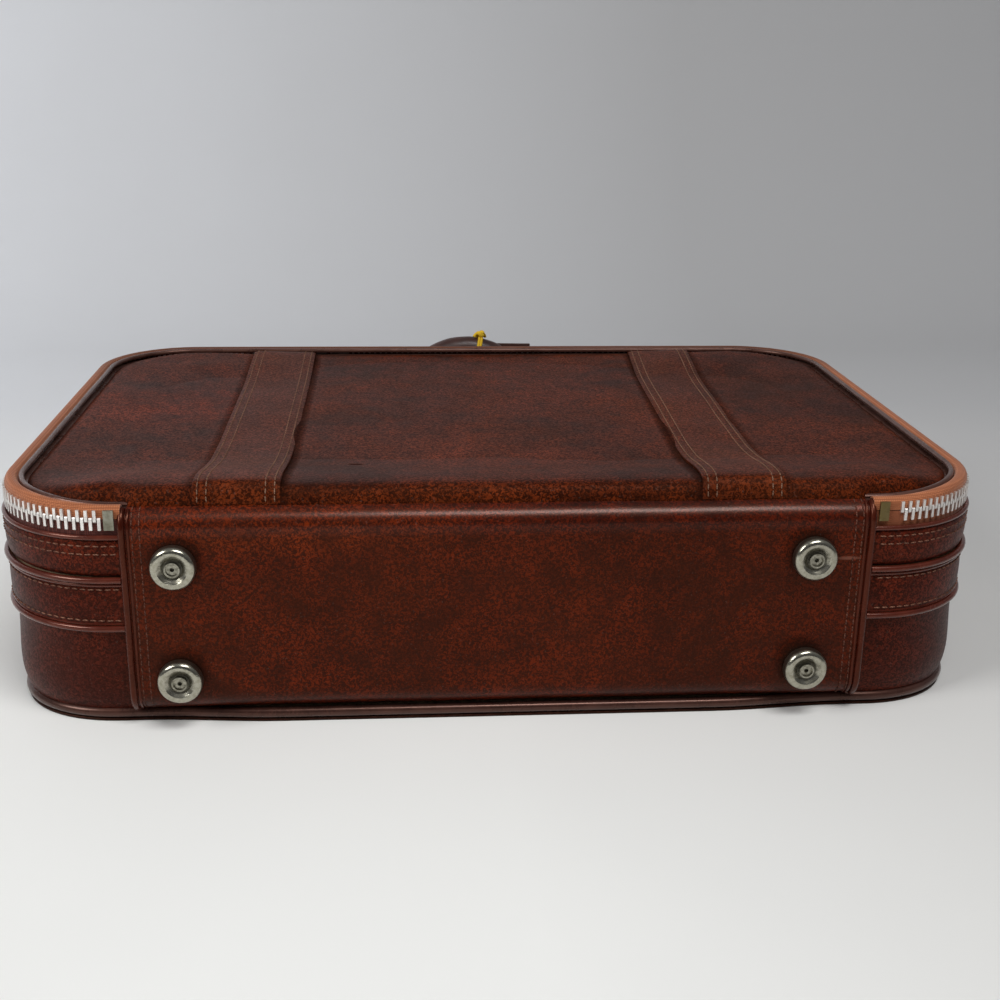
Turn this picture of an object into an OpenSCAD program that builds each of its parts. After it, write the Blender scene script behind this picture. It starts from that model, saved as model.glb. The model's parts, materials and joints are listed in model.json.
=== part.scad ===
// Zip-round travel case in vinyl over board, lying on its back with the lid up.
// Millimetres. X runs along the long side, Y from the hinge to the handle, Z up.
// The origin is the centre of the back's underside.

/* [Case] */
// Width along the hinge, over the zip band
case_w = 460; // [420:1:520]
// Length from the hinge side to the handle side, over the zip band
case_l = 320; // [290:1:380]
// Corner radius in plan, over the zip band
corner_r = 56; // [45:1:70]

/* [Wall levels] */
// Thickness of the cover on the back
back_cover_t = 1.4; // [1:0.1:2.5]
// Thickness of the board in the back
back_board_t = 3; // [2:0.1:3.4]
// Diameter of the welt round the back
back_welt_d = 5; // [4:0.1:6]
// Height of the lower side wall
lower_wall_h = 40.5; // [34:0.5:60]
// Diameter of the two piping beads beside the belt
belt_piping_d = 3.6; // [3:0.1:4.4]
// Height of the belt between the pipings
belt_h = 18.6; // [16:0.2:24]
// Thickness of the folded edge under the upper piping
fold_t = 0.9; // [0.6:0.1:1.4]
// Height of the band that carries the zip
band_h = 16.6; // [14:0.2:22]
// Diameter of the thin welt at the top of the zip band
zip_welt_d = 2.4; // [2:0.1:3]
// Height of zip showing between that welt and the zip's centre line
zip_show_h = 6.6; // [6:0.1:8]
// Height of the lid's rim above the zip's centre line
rim_h = 8.5; // [8:0.1:11]

/* [Wall layers] */
// Thickness of the vinyl band that carries the zip
band_t = 1.8; // [1.2:0.1:2.4]
// How far the belt lies behind the zip band's face
belt_inset = 0.5; // [0.3:0.1:0.8]
// How far the lower wall's top edge lies behind the zip band's face
lower_top_inset = 2.3; // [1.5:0.1:3]
// How far the lower wall's bottom edge lies behind the zip band's face
lower_bottom_inset = 8.2; // [7.6:0.1:9]
// How far the lower piping stands out from the zip band's face
bead_low_proud = 1.1; // [0.8:0.1:1.6]
// How far the upper piping stands out from the zip band's face
bead_high_proud = 1.6; // [1.2:0.1:2]
// How far the zip band's lower edge dips in beside the upper piping
band_dip = 1.2; // [0.6:0.1:1.6]
// Thickness of the wall frame behind the lower wall
frame_t = 3; // [2.5:0.1:4.5]
// Thickness of the inner lining
lining_t = 1; // [0.6:0.1:1.5]

/* [Zip] */
// Distance between teeth along one row
tooth_pitch = 3.6; // [3.4:0.1:4.6]
// Thickness of a tooth along the zip
tooth_t = 1.4; // [1:0.1:1.4]
// Depth of a tooth through the tape
tooth_d = 3.1; // [2.6:0.1:3.2]
// How far a tooth's head passes the zip's centre line
tooth_mesh = 1.1; // [0.7:0.1:1.3]
// How far a tooth's legs run down the tape
tooth_leg = 3; // [2.4:0.1:3.4]
// Thickness of the zip tape
tape_t = 0.9; // [0.6:0.1:1]
// Distance between the two tape edges
tape_split = 3; // [2.6:0.1:3.6]
// Radius of the shoulder where the upper tape rolls over to the lid
shoulder_r = 3.7; // [3.2:0.1:4]
// Length of a slider along the zip
slider_l = 13; // [11:0.5:16]
// Thickness of a slider's plates
slider_plate_t = 1.3; // [1:0.1:1.5]
// Length of a pull from its pin to its end
pull_l = 33; // [24:1:36]
// Width of a pull
pull_w = 8.5; // [7:0.1:9.5]
// Thickness of a pull
pull_t = 1.2; // [1:0.1:1.4]
// Diameter of the pin of a pull
pull_pin_d = 1.4; // [1.2:0.1:1.6]
// Where the two sliders meet when the zip is shut, along the handle side
slider_meet_x = -90; // [-110:1:-80]

/* [Lid] */
// Thickness of the lid's board
lid_board_t = 2; // [1.5:0.1:2.4]
// Thickness of the lid's cover
lid_cover_t = 1; // [0.8:0.1:1.4]
// Height of the lid's panel above the zip's centre line
panel_rise = 5.3; // [5:0.1:7]
// Height of the lid's seam at the hinge above the zip's centre line
seam_rise = 6.8; // [6:0.1:8]
// Height of the padded ridge beside the hinge above that seam
ridge_h = 5.4; // [3:0.1:7]
// Distance from the hinge seam to the top of the ridge
ridge_run = 17; // [12:0.5:24]
// Distance over which the ridge falls to the panel
ridge_fall = 56; // [40:1:80]
// Diameter of the welt round the lid
lid_welt_d = 4.4; // [3.6:0.1:5]
// Width of a strap on the lid
strap_w = 38.5; // [30:0.5:48]
// Thickness of a strap on the lid
strap_t = 1.2; // [0.8:0.1:2]
// Distance between the middles of the two straps
strap_spacing = 227; // [180:1:260]
// How far the pair of straps sits off the middle
strap_shift = -4.5; // [-8:0.5:8]
// How far the right strap's far end lies further out than its near end
strap_splay = 16; // [0:0.5:20]

/* [Hinge side] */
// Width of the hinge panel between the middles of its end pipings
hinge_w = 334; // [300:1:344]
// Diameter of the end pipings
end_piping_d = 4.5; // [3.6:0.1:5]
// How far the end pipings stand out from the hinge panel's face
end_bead_proud = 1.6; // [1:0.1:2.4]
// Radius of the roll at the bottom of the hinge panel
hinge_roll_r = 12; // [10:0.5:14]
// Length of a zip end stop
stop_l = 4.4; // [3.5:0.1:5]

/* [Feet] */
// Diameter of a foot
foot_d = 20; // [16:0.5:24]
// Height of a foot
foot_h = 8.5; // [6:0.5:11]
// Diameter of the dish in a foot's face
foot_dish_d = 13.4; // [11:0.2:14]
// Depth of that dish
foot_dish = 1.6; // [1:0.1:2]
// Radius of the rolled rim of a foot
foot_lip_r = 2.5; // [1.5:0.1:3]
// Diameter of the rivet head in a foot
foot_rivet_d = 7; // [6:0.2:8]
// Diameter of the rivet's shank
foot_shank_d = 4; // [3:0.1:4.6]
// Distance between the two columns of feet
foot_spacing = 285; // [240:1:295]
// How far the feet sit off the middle
foot_shift = -2.5; // [-6:0.5:6]
// Height of the lower row of feet
foot_low_z = 25.5; // [22:0.5:30]
// Distance between the two rows of feet
foot_row_gap = 54.5; // [48:0.5:58]

/* [Handle] */
// Diameter of the handle's grip
grip_d = 15; // [12:0.5:16]
// Radius of the handle's arch at the middle of the grip
arch_r = 39.5; // [36:0.5:46]
// Half angle of the handle's arch, from its crown to the pivots
arch_half_a = 96; // [92:1:100]
// Distance of the pivots from the zip band's face
handle_standoff = 15.4; // [15.2:0.1:18]
// Lean of the resting handle towards the lid
handle_lean = 3; // [2:0.5:4]
// Diameter of the steel tangs at the grip's ends
tang_d = 6; // [4:0.1:7]
// Outer diameter of the eyes at the handle's ends
eye_d = 9; // [8:0.2:11]
// Width of the eyes
eye_w = 9; // [8:0.2:11]
// Diameter of the pivot pins
pivot_d = 4; // [3:0.1:5]
// Thickness of the bracket's plate and ears
bracket_t = 1.5; // [1.2:0.1:2]
// Height of a bracket's plate
bracket_h = 15; // [14:0.2:17]
// Width of a bracket's plate
bracket_w = 30; // [28:0.5:36]
// Diameter of a bracket rivet's head
bracket_rivet_d = 5.6; // [4.6:0.1:6.4]
// Diameter of a bracket rivet's shank
bracket_shank_d = 3; // [2.4:0.1:3.6]
// Diameter of the cord tied round the grip
tie_d = 2; // [1.4:0.1:2.6]
// Length of the leather tag strap tied to the grip
tag_l = 35; // [20:1:40]
// Width of the tag strap
tag_h = 8; // [6:0.5:10]
// Thickness of the tag strap
tag_t = 2; // [1.2:0.1:2.4]

/* [Inside] */
// Width of the webbing straps in the tray
webbing_w = 25; // [18:1:38]
// Thickness of the webbing
webbing_t = 1.5; // [1:0.1:2.5]
// Width of the pocket in the lid
pocket_w = 320; // [240:1:360]
// Length of the pocket in the lid
pocket_l = 170; // [120:1:220]
// Thickness of the empty pocket
pocket_t = 3; // [2:0.1:4]

/* [Hidden] */
$fn = 64;
// Clearances of seated pieces, of running fits and of pieces that only come near
seat = 0.1;
run = 0.05;
slack = 0.4;
// How far cutters pass a face, a wall and a stack of layers
past = 1;
past_wall = 20;
past_layers = 40;

// Levels, from the back up
back_welt_z = back_cover_t + seat + back_welt_d / 2;
lower_z = back_cover_t + back_welt_d + 2 * seat;
lower_top_z = lower_z + lower_wall_h;
piping_low_z = lower_top_z + seat + belt_piping_d / 2;
belt_z = piping_low_z + belt_piping_d / 2 + seat;
fold_z = belt_z + belt_h + seat;
piping_high_z = fold_z + fold_t + belt_piping_d / 2;
band_z = piping_high_z + belt_piping_d / 2 + seat;
zip_welt_z = band_z + band_h + seat + zip_welt_d / 2;
zip_z = zip_welt_z + zip_welt_d / 2 + zip_show_h;
rim_z = zip_z + rim_h;
turn_in = 2.3;
frame_z = lower_z + turn_in;
frame_top_z = zip_welt_z;
floor_z = back_cover_t + back_board_t + 2 * seat;

// Layers, as distances out from the zip band's face
tape_o = -band_t - seat - tape_t / 2;
frame_o = tape_o - tape_t / 2 - seat;
lower_frame_o = -lower_bottom_inset - seat;
frame_in_o = lower_frame_o - frame_t;
lining_o = frame_in_o - seat;
lining_in_o = lining_o - lining_t;
back_welt_o = lining_o + seat + back_welt_d / 2;
bead_low_o = bead_low_proud - belt_piping_d / 2;
bead_high_o = bead_high_proud - belt_piping_d / 2;
shoulder_o = tape_o + tape_t / 2 - shoulder_r;
lid_welt_o = shoulder_o - seat - lid_welt_d / 2;
welt_gap = 0.3;
panel_o = lid_welt_o - lid_welt_d / 2 - welt_gap;

// Inside the tray
buckle_half = 14;
strap_z = floor_z + lining_t + seat;

// The two parting edges at the hinge
near_y = -case_l / 2;
far_y = case_l / 2;
hinge_half = hinge_w / 2;
gap_half = hinge_half + end_piping_d / 2 + seat;
end_bead_o = end_bead_proud - end_piping_d / 2;
part_gap = 0.2;
stop_gap = 0.6;
stop_x = gap_half + stop_gap;
lid_ring_half = stop_x + stop_l + slack;

// Lid levels
lid_gap = 0.3;
lid_lining_z = zip_z + lid_gap;
lid_board_z = lid_lining_z + lining_t + seat;
pad_z = lid_board_z + lid_board_t + seat;
panel_z = zip_z + panel_rise;
seam_z = zip_z + seam_rise;
ridge_z = seam_z + ridge_h;
seam_y = near_y + band_t + part_gap;
ridge_y = seam_y + ridge_run;
panel_far_y = far_y + panel_o;
panel_half_x = case_w / 2 + panel_o;
ridge_fade_in = 4;
ridge_flat_x = hinge_half - ridge_fade_in;

// Handle places
pivot_z = belt_z + belt_h / 2;
pivot_y = far_y + handle_standoff;
arch_z = -arch_r * cos(arch_half_a);
handle_rise = arch_z + arch_r;
pivot_x = arch_r * sin(arch_half_a);
tang_show = 2.5;
grip_end = eye_d / 2 + tang_show;
grip_end_a = grip_end / arch_r * 180 / PI;
tie_a = 11;
ear_gap = eye_w + 2 * slack;
bracket_o = -belt_inset + seat;
rivet_margin = 0.8;
rivet_step = ear_gap / 2 + bracket_t + bracket_rivet_d / 2 + rivet_margin;
backing_t = 1.2;
inner_head = 0.9;

// Slider places
slider_z0 = zip_z - tape_split / 2 - tooth_leg - slack;
slider_z1 = zip_z + tape_split / 2 + tooth_leg + slack;
tooth_out_o = tape_o + tooth_d / 2;
tooth_in_o = tape_o - tooth_d / 2;
plate_gap = 0.5;
plate_o = tooth_out_o + plate_gap;
plate_face_o = plate_o + slider_plate_t;
inner_plate_o = tooth_in_o - plate_gap;
pull_gap = 0.6;
pull_o = plate_face_o + pull_pin_d / 2 + pull_gap;
bail_wall = 0.7;
bail_d = pull_pin_d + 2 * bail_wall;
bail_h = 3.2;
slider_left_x = slider_meet_x - slider_l / 2 - slack;
slider_right_x = slider_meet_x + slider_l / 2 + slack;

// The tooth path round the three zipped sides
path_r = corner_r + tape_o;
half_x = case_w / 2 - corner_r;
half_y = case_l / 2 - corner_r;
arc_l = path_r * PI / 2;
side_l = 2 * half_y;
far_l = 2 * half_x;
path_start = lid_ring_half - half_x + tooth_t;
path_l = 4 * arc_l + 2 * side_l + far_l;
tooth_count = floor((path_l - 2 * path_start) / tooth_pitch);

vinyl = [0.29, 0.11, 0.07];
piping_red = [0.36, 0.13, 0.08];
tan_tape = [0.55, 0.27, 0.13];
nickel = [0.72, 0.71, 0.68];
board = [0.62, 0.5, 0.36];
cloth = [0.66, 0.56, 0.42];

// A rounded outline, o out from the zip band's face
module outline(o) {
    r = corner_r + o;
    square([2 * half_x, case_l + 2 * o], center = true);
    square([case_w + 2 * o, 2 * half_y], center = true);
    for (x = [-half_x, half_x])
        for (y = [-half_y, half_y])
            translate([x, y])
                circle(r);
}

// A flat sheet with that outline
module sheet(o, z0, z1) {
    translate([0, 0, z0])
        linear_extrude(z1 - z0)
            outline(o);
}

// A profile drawn as (out, height) and carried round the whole outline
module round_trip() {
    for (c = [[1, 1, 0], [-1, 1, 90], [-1, -1, 180], [1, -1, 270]])
        translate([c[0] * half_x, c[1] * half_y, 0])
            rotate(c[2])
                rotate_extrude(angle = 90)
                    translate([corner_r, 0])
                        children();
    for (turn = [0, 180]) {
        rotate(turn)
            translate([case_w / 2, side_l / 2, 0])
                rotate([90, 0, 0])
                    linear_extrude(side_l)
                        children();
        rotate(turn + 90)
            translate([case_l / 2, far_l / 2, 0])
                rotate([90, 0, 0])
                    linear_extrude(far_l)
                        children();
    }
}

// The same, left open across the middle of the hinge side
module open_trip(half) {
    difference() {
        round_trip()
            children();
        translate([-half, near_y - past_wall, -past])
            cube([2 * half, past_wall + corner_r, rim_z + past_wall]);
    }
}

// A flat strip in the wall, from o0 to o1 and z0 to z1
module strip(o0, o1, z0, z1) {
    translate([o0, z0])
        square([o1 - o0, z1 - z0]);
}

// A cylinder along +Y
module along_y(d, y0, y1) {
    translate([0, y0, 0])
        rotate([-90, 0, 0])
            cylinder(d = d, h = y1 - y0);
}

// Calls its children at each foot
module at_feet() {
    for (x = [-foot_spacing / 2, foot_spacing / 2])
        for (z = [foot_low_z, foot_low_z + foot_row_gap])
            translate([x + foot_shift, foot_y(z), z])
                children();
}

// Calls its children at each bracket rivet, on the zip band's face line
module at_bracket_rivets() {
    for (x = [-pivot_x, pivot_x])
        for (step = [-rivet_step, rivet_step])
            translate([x + step, far_y, pivot_z])
                children();
}

// Bores for the rivets of the feet and of the handle's brackets
module rivet_bores() {
    at_feet()
        along_y(foot_shank_d + 2 * run, -foot_h, past_layers);
    at_bracket_rivets()
        along_y(bracket_shank_d + 2 * run, -past_layers, past_wall);
}

// How far the lower wall lies in at a height: a lean, then a tuck at the bottom
wall_steps = 8;
lean_share = 0.45;
tuck_power = 5;
function lower_inset(z) =
    let (t = (lower_top_z - z) / lower_wall_h)
    let (lean = lean_share * t + (1 - lean_share) * pow(t, tuck_power))
    lower_top_inset + (lower_bottom_inset - lower_top_inset) * lean;

// How far the hinge panel lies in at a height
hinge_roll_z = lower_z + sqrt(pow(hinge_roll_r, 2) - pow(hinge_roll_r - lower_bottom_inset, 2));
function hinge_inset(z) =
    z > hinge_roll_z ? 0 : hinge_roll_r - sqrt(pow(hinge_roll_r, 2) - pow(hinge_roll_z - z, 2));

// Where a foot's base lies on the hinge panel
function foot_y(z) = near_y + hinge_inset(z + foot_d / 2) - seat;

// The place along the tooth path: x, y and the direction that points out
function on_path(s) =
    s < arc_l ? corner_place(-half_x, -half_y, 270 - 90 * s / arc_l)
    : s < arc_l + side_l ? [-half_x - path_r, -half_y + s - arc_l, 180]
    : s < 2 * arc_l + side_l ? corner_place(-half_x, half_y, 180 - 90 * (s - arc_l - side_l) / arc_l)
    : s < 2 * arc_l + side_l + far_l ? [-half_x + s - 2 * arc_l - side_l, half_y + path_r, 90]
    : s < 3 * arc_l + side_l + far_l
        ? corner_place(half_x, half_y, 90 - 90 * (s - 2 * arc_l - side_l - far_l) / arc_l)
    : s < 3 * arc_l + 2 * side_l + far_l ? [half_x + path_r, half_y - s + 3 * arc_l + side_l + far_l, 0]
    : corner_place(half_x, -half_y, -90 * (s - 3 * arc_l - 2 * side_l - far_l) / arc_l);
function corner_place(x, y, a) = [x + path_r * cos(a), y + path_r * sin(a), a];

// A tooth that straddles the lower tape's edge
module tooth() {
    slot = tape_t / 2 + seat;
    nose = 0.5;
    leg_z = -tape_split / 2 - tooth_leg;
    edge_z = -tape_split / 2 + seat;
    rotate([90, 0, 0])
        linear_extrude(tooth_t, center = true)
            polygon([
                [-tooth_d / 2, leg_z], [-slot, leg_z], [-slot, edge_z], [slot, edge_z],
                [slot, leg_z], [tooth_d / 2, leg_z], [tooth_d / 2, tooth_mesh - nose],
                [tooth_d / 2 - nose, tooth_mesh], [nose - tooth_d / 2, tooth_mesh],
                [-tooth_d / 2, tooth_mesh - nose]
            ]);
}

// A row of teeth, pointing up or down
module tooth_row(first, flip) {
    for (i = [0 : tooth_count - 1]) {
        place = on_path(path_start + (i + first) * tooth_pitch);
        translate([place[0], place[1], zip_z])
            rotate(place[2])
                mirror([0, 0, flip])
                    tooth();
    }
}

// The lid's top line from hinge to handle side, raised by d, closed below at z
arc_step = 15;
fall_step = 0.125;
function lid_line(d, z) = concat(
    [[seam_y - d, z]],
    [for (a = [0 : arc_step : 90]) [ridge_y - (ridge_run + d) * cos(a), seam_z + (ridge_h + d) * sin(a)]],
    [for (u = [fall_step : fall_step : 1])
        [ridge_y + ridge_fall * u, panel_z + d + (ridge_z - panel_z) * (0.5 + 0.5 * cos(180 * u))]],
    [[far_y, panel_z + d], [far_y, z]]
);

// The limit that lets the ridge fade towards the lid's sides
function side_line(d, z) =
    let (run_x = panel_half_x - ridge_flat_x, edge_x = panel_half_x + past)
    let (low = panel_z + d + part_gap, rise = ridge_z + past - panel_z)
    let (right = [for (v = [0 : fall_step : 1])
        [ridge_flat_x + run_x * v, low + rise * (0.5 + 0.5 * cos(180 * v))]])
    let (left = [for (i = [len(right) - 1 : -1 : 0]) [-right[i][0], right[i][1]]])
    concat([[-edge_x, z], [-edge_x, low]], left, right, [[edge_x, low], [edge_x, z]]);

// All that lies under the lid's top raised by d, down to z
module under_lid(d, z) {
    intersection() {
        rotate([90, 0, 90])
            linear_extrude(case_w, center = true)
                polygon(lid_line(d, z));
        rotate([90, 0, 0])
            linear_extrude(case_l, center = true)
                polygon(side_line(d, z));
    }
}

// The lid panel's plan: inside the welt, and out to the seam at the hinge
module panel_plan(o) {
    outline(o);
    translate([-hinge_half + end_piping_d / 2 + seat, seam_y])
        square([hinge_w - end_piping_d - 2 * seat, corner_r]);
}

module back_cover() {
    back_cover_lap = 1;
    color(vinyl)
        sheet(back_cover_lap - lower_bottom_inset, 0, back_cover_t);
}

module back_board() {
    color(board)
        sheet(lining_o, back_cover_t + seat, back_cover_t + seat + back_board_t);
}

module back_welt() {
    color(piping_red)
        round_trip()
            translate([back_welt_o, back_welt_z])
                circle(d = back_welt_d);
}

// A board hoop, thicker behind the belt and the zip band
module side_frame() {
    step_z = piping_low_z;
    color(board)
        difference() {
            round_trip()
                polygon([
                    [frame_in_o, frame_z], [lower_frame_o, frame_z], [lower_frame_o, step_z],
                    [frame_o, step_z], [frame_o, frame_top_z], [frame_in_o, frame_top_z]
                ]);
            rivet_bores();
        }
}

module side_cover() {
    inner = lower_frame_o + seat;
    flange_z = frame_z - seat;
    color(vinyl)
        open_trip(gap_half)
            polygon(concat(
                [for (i = [0 : wall_steps])
                    let (z = lower_z + lower_wall_h * i / wall_steps)
                    [-lower_inset(z), z]],
                [[inner, lower_top_z], [inner, flange_z], [frame_in_o, flange_z], [frame_in_o, lower_z]]
            ));
}

module belt_piping_lower() {
    color(piping_red)
        open_trip(gap_half)
            translate([bead_low_o, piping_low_z])
                circle(d = belt_piping_d);
}

module belt_band() {
    color(vinyl)
        difference() {
            open_trip(gap_half)
                strip(frame_o + seat, -belt_inset, belt_z, belt_z + belt_h);
            rivet_bores();
        }
}

// A bead with the folded edge that lies under it
module belt_piping_upper() {
    fold_reach = 1;
    fold_bite = 0.3;
    color(piping_red)
        open_trip(gap_half)
            union() {
                translate([bead_high_o, piping_high_z])
                    circle(d = belt_piping_d);
                strip(frame_o + seat, bead_high_o + fold_reach, fold_z, fold_z + fold_t + fold_bite);
            }
}

// The band that carries the zip, dipped in beside the piping below it
module zip_band() {
    dip_h = 6;
    color(vinyl)
        open_trip(gap_half)
            polygon([
                [-band_t, band_z], [-band_dip, band_z], [-band_dip / 4, band_z + dip_h / 2],
                [0, band_z + dip_h], [0, band_z + band_h], [-band_t, band_z + band_h]
            ]);
}

module zip_welt_lower() {
    color(piping_red)
        open_trip(gap_half)
            translate([zip_welt_d / 2 - band_t, zip_welt_z])
                circle(d = zip_welt_d);
}

module zip_tape_lower() {
    color(vinyl)
        open_trip(gap_half)
            strip(tape_o - tape_t / 2, tape_o + tape_t / 2, band_z, zip_z - tape_split / 2);
}

module zip_teeth_lower() {
    color(nickel)
        tooth_row(0, 0);
}

// A folded metal box at each end of the zip
module zip_end_stops() {
    z0 = zip_z - tape_split / 2 - tooth_leg;
    h = tape_split + 2 * tooth_leg;
    slot_w = tape_t + 2 * seat;
    color(nickel)
        for (m = [0, 1])
            mirror([m, 0, 0])
                difference() {
                    translate([stop_x, near_y - tape_o - tooth_d / 2, z0])
                        cube([stop_l, tooth_d, h]);
                    translate([stop_x - past, near_y - tape_o - slot_w / 2, z0 - past])
                        cube([stop_l + 2 * past, slot_w, past + tooth_leg + seat]);
                }
}

module hinge_panel() {
    half = hinge_half - end_piping_d / 2 - seat;
    top = zip_z - part_gap;
    inner = lower_frame_o + seat;
    step_z = piping_low_z - seat;
    color(vinyl)
        difference() {
            rotate([90, 0, 90])
                linear_extrude(2 * half, center = true)
                    polygon(concat(
                        [for (i = [0 : wall_steps])
                            let (z = lower_z + (hinge_roll_z - lower_z) * i / wall_steps)
                            [near_y + hinge_inset(z), z]],
                        [
                            [near_y, top],
                            [near_y + band_t, top], [near_y + band_t, frame_top_z],
                            [near_y - frame_o - seat, frame_top_z], [near_y - frame_o - seat, step_z],
                            [near_y - inner, step_z], [near_y - inner, frame_z - seat],
                            [near_y - frame_in_o, frame_z - seat], [near_y - frame_in_o, lower_z]
                        ]
                    ));
            rivet_bores();
        }
}

// The bead at one end of the hinge panel, bent under at the bottom
module hinge_piping(x) {
    bend_share = 0.8;
    bend = acos(1 - lower_bottom_inset / hinge_roll_r) * bend_share;
    r = hinge_roll_r + end_bead_o;
    color(piping_red)
        translate([x, near_y + hinge_roll_r, hinge_roll_z])
            rotate([0, 90, 0])
                rotate(-90) {
                    rotate_extrude(angle = bend)
                        translate([r, 0])
                            circle(d = end_piping_d);
                    rotate([90, 0, 0])
                        linear_extrude(zip_z - part_gap - hinge_roll_z)
                            translate([r, 0])
                                circle(d = end_piping_d);
                }
}

module hinge_piping_left() {
    hinge_piping(-hinge_half);
}

module hinge_piping_right() {
    hinge_piping(hinge_half);
}

// A disc with a rolled edge, standing on z = 0
module rolled_disc(d, h, r) {
    rotate_extrude()
        union() {
            square([d / 2 - r, h]);
            square([d / 2, h - r]);
            translate([d / 2 - r, h - r])
                intersection() {
                    circle(r = r);
                    square(r);
                }
        }
}

// Drawn cups with a rolled rim and a dished face round the rivet
module feet() {
    waist = 1.5;
    rim_h = 2 * foot_lip_r;
    dish_gap = 0.8;
    dish_floor_d = foot_rivet_d + 2 * dish_gap;
    dish_slope = (foot_dish_d - dish_floor_d) / foot_dish;
    dish_cut_d = foot_dish_d + dish_slope * past;
    color(nickel)
        at_feet()
            rotate([90, 0, 0])
                difference() {
                    union() {
                        cylinder(d = foot_d - waist, h = foot_h - foot_lip_r);
                        translate([0, 0, foot_h - rim_h])
                            rolled_disc(foot_d, rim_h, foot_lip_r);
                    }
                    translate([0, 0, foot_h - foot_dish])
                        cylinder(d1 = dish_floor_d, d2 = dish_cut_d, h = foot_dish + past);
                    translate([0, 0, -past])
                        cylinder(d = foot_shank_d + 2 * run, h = foot_h + 2 * past);
                }
}

// Tubular rivets through the feet, the wall and the washers inside
module foot_rivets() {
    head = 1.4;
    cup_wall = 0.8;
    cup_floor = 0.4;
    bore_l = 3;
    inner = near_y - lining_in_o + 2 * seat + backing_t;
    color(nickel)
        for (x = [-foot_spacing / 2, foot_spacing / 2])
            for (z = [foot_low_z, foot_low_z + foot_row_gap]) {
                face = foot_y(z) - foot_h + foot_dish - seat;
                translate([x + foot_shift, 0, z])
                    difference() {
                        union() {
                            along_y(foot_rivet_d, face - head, face);
                            along_y(foot_shank_d, face - head, inner + inner_head);
                            along_y(foot_rivet_d, inner, inner + inner_head);
                        }
                        along_y(foot_rivet_d - 2 * cup_wall, face - head - past, face - cup_floor);
                        along_y(foot_shank_d / 2, face - head, face - head + bore_l);
                    }
            }
}

module foot_washers() {
    washer_d = 2 * foot_rivet_d;
    y = near_y - lining_in_o + seat;
    color(nickel)
        for (x = [-foot_spacing / 2, foot_spacing / 2])
            for (z = [foot_low_z, foot_low_z + foot_row_gap])
                translate([x + foot_shift, 0, z])
                    difference() {
                        along_y(washer_d, y, y + backing_t);
                        along_y(foot_shank_d + 2 * run, y - past, y + backing_t + past);
                    }
}

// The cloth tray inside the walls and over the back board
module tray_lining() {
    color(cloth)
        difference() {
            sheet(lining_o - seat, floor_z, frame_top_z);
            sheet(lining_in_o, floor_z + lining_t, frame_top_z + past);
            rivet_bores();
        }
}

// Webbing from a side wall to the buckle in the middle of the tray
module tie_strap(side) {
    wall_gap = 1;
    start = case_w / 2 + lining_in_o - wall_gap;
    color([0.3, 0.16, 0.1])
        translate([side > 0 ? buckle_half : -start, -webbing_w / 2, strap_z])
            cube([start - buckle_half, webbing_w, webbing_t]);
}

module tie_strap_left() {
    tie_strap(-1);
}

module tie_strap_right() {
    tie_strap(1);
}

// A flat two-bar buckle between the webbing ends
module tie_buckle() {
    bar = 3;
    half = buckle_half - seat;
    color(nickel)
        translate([0, 0, strap_z])
            difference() {
                translate([-half, -webbing_w / 2 - bar, 0])
                    cube([2 * half, webbing_w + 2 * bar, 2 * webbing_t]);
                for (x = [-half + bar, bar / 2])
                    translate([x, -webbing_w / 2, -past])
                        cube([half - 1.5 * bar, webbing_w, 2 * webbing_t + 2 * past]);
            }
}

// Round-ended plates on the belt, each with two ears for the pivot pin
module handle_brackets() {
    ear_l = handle_standoff - bracket_o;
    color(nickel)
        difference() {
            for (x = [-pivot_x, pivot_x])
                translate([x, far_y + bracket_o, pivot_z]) {
                    translate([bracket_h / 2 - bracket_w / 2, 0, -bracket_h / 2])
                        cube([bracket_w - bracket_h, bracket_t, bracket_h]);
                    for (m = [0, 1])
                        mirror([m, 0, 0]) {
                            translate([bracket_w / 2 - bracket_h / 2, 0, 0])
                                along_y(bracket_h, 0, bracket_t);
                            translate([ear_gap / 2, 0, -eye_d / 2])
                                cube([bracket_t, ear_l, eye_d]);
                            translate([ear_gap / 2, ear_l, 0])
                                rotate([0, 90, 0])
                                    cylinder(d = eye_d, h = bracket_t);
                        }
                }
            for (x = [-pivot_x, pivot_x])
                translate([x - bracket_w / 2, pivot_y, pivot_z])
                    rotate([0, 90, 0])
                        cylinder(d = pivot_d + 2 * run, h = bracket_w);
            at_bracket_rivets()
                along_y(bracket_shank_d + 2 * run, -past_layers, past_wall);
        }
}

// Round-headed rivets through the brackets, the wall and the plate inside
module bracket_rivets() {
    outer = bracket_o + bracket_t + seat;
    inner = lining_in_o - backing_t - 2 * seat;
    head_h = 1.4;
    head_r = 1;
    color(nickel)
        at_bracket_rivets() {
            translate([0, outer, 0])
                rotate([-90, 0, 0])
                    rolled_disc(bracket_rivet_d, head_h, head_r);
            along_y(bracket_shank_d, inner - inner_head, outer + head_h / 2);
            along_y(bracket_rivet_d, inner - inner_head, inner);
        }
}

module handle_pins() {
    head_t = 1.2;
    head_d = pivot_d + 2;
    reach = ear_gap / 2 + bracket_t + seat;
    color(nickel)
        for (x = [-pivot_x, pivot_x])
            translate([x, pivot_y, pivot_z])
                rotate([0, 90, 0]) {
                    cylinder(d = pivot_d, h = 2 * reach + head_t, center = true);
                    for (m = [0, 1])
                        mirror([0, 0, m])
                            translate([0, 0, reach])
                                cylinder(d = head_d, h = head_t);
                }
}

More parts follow.
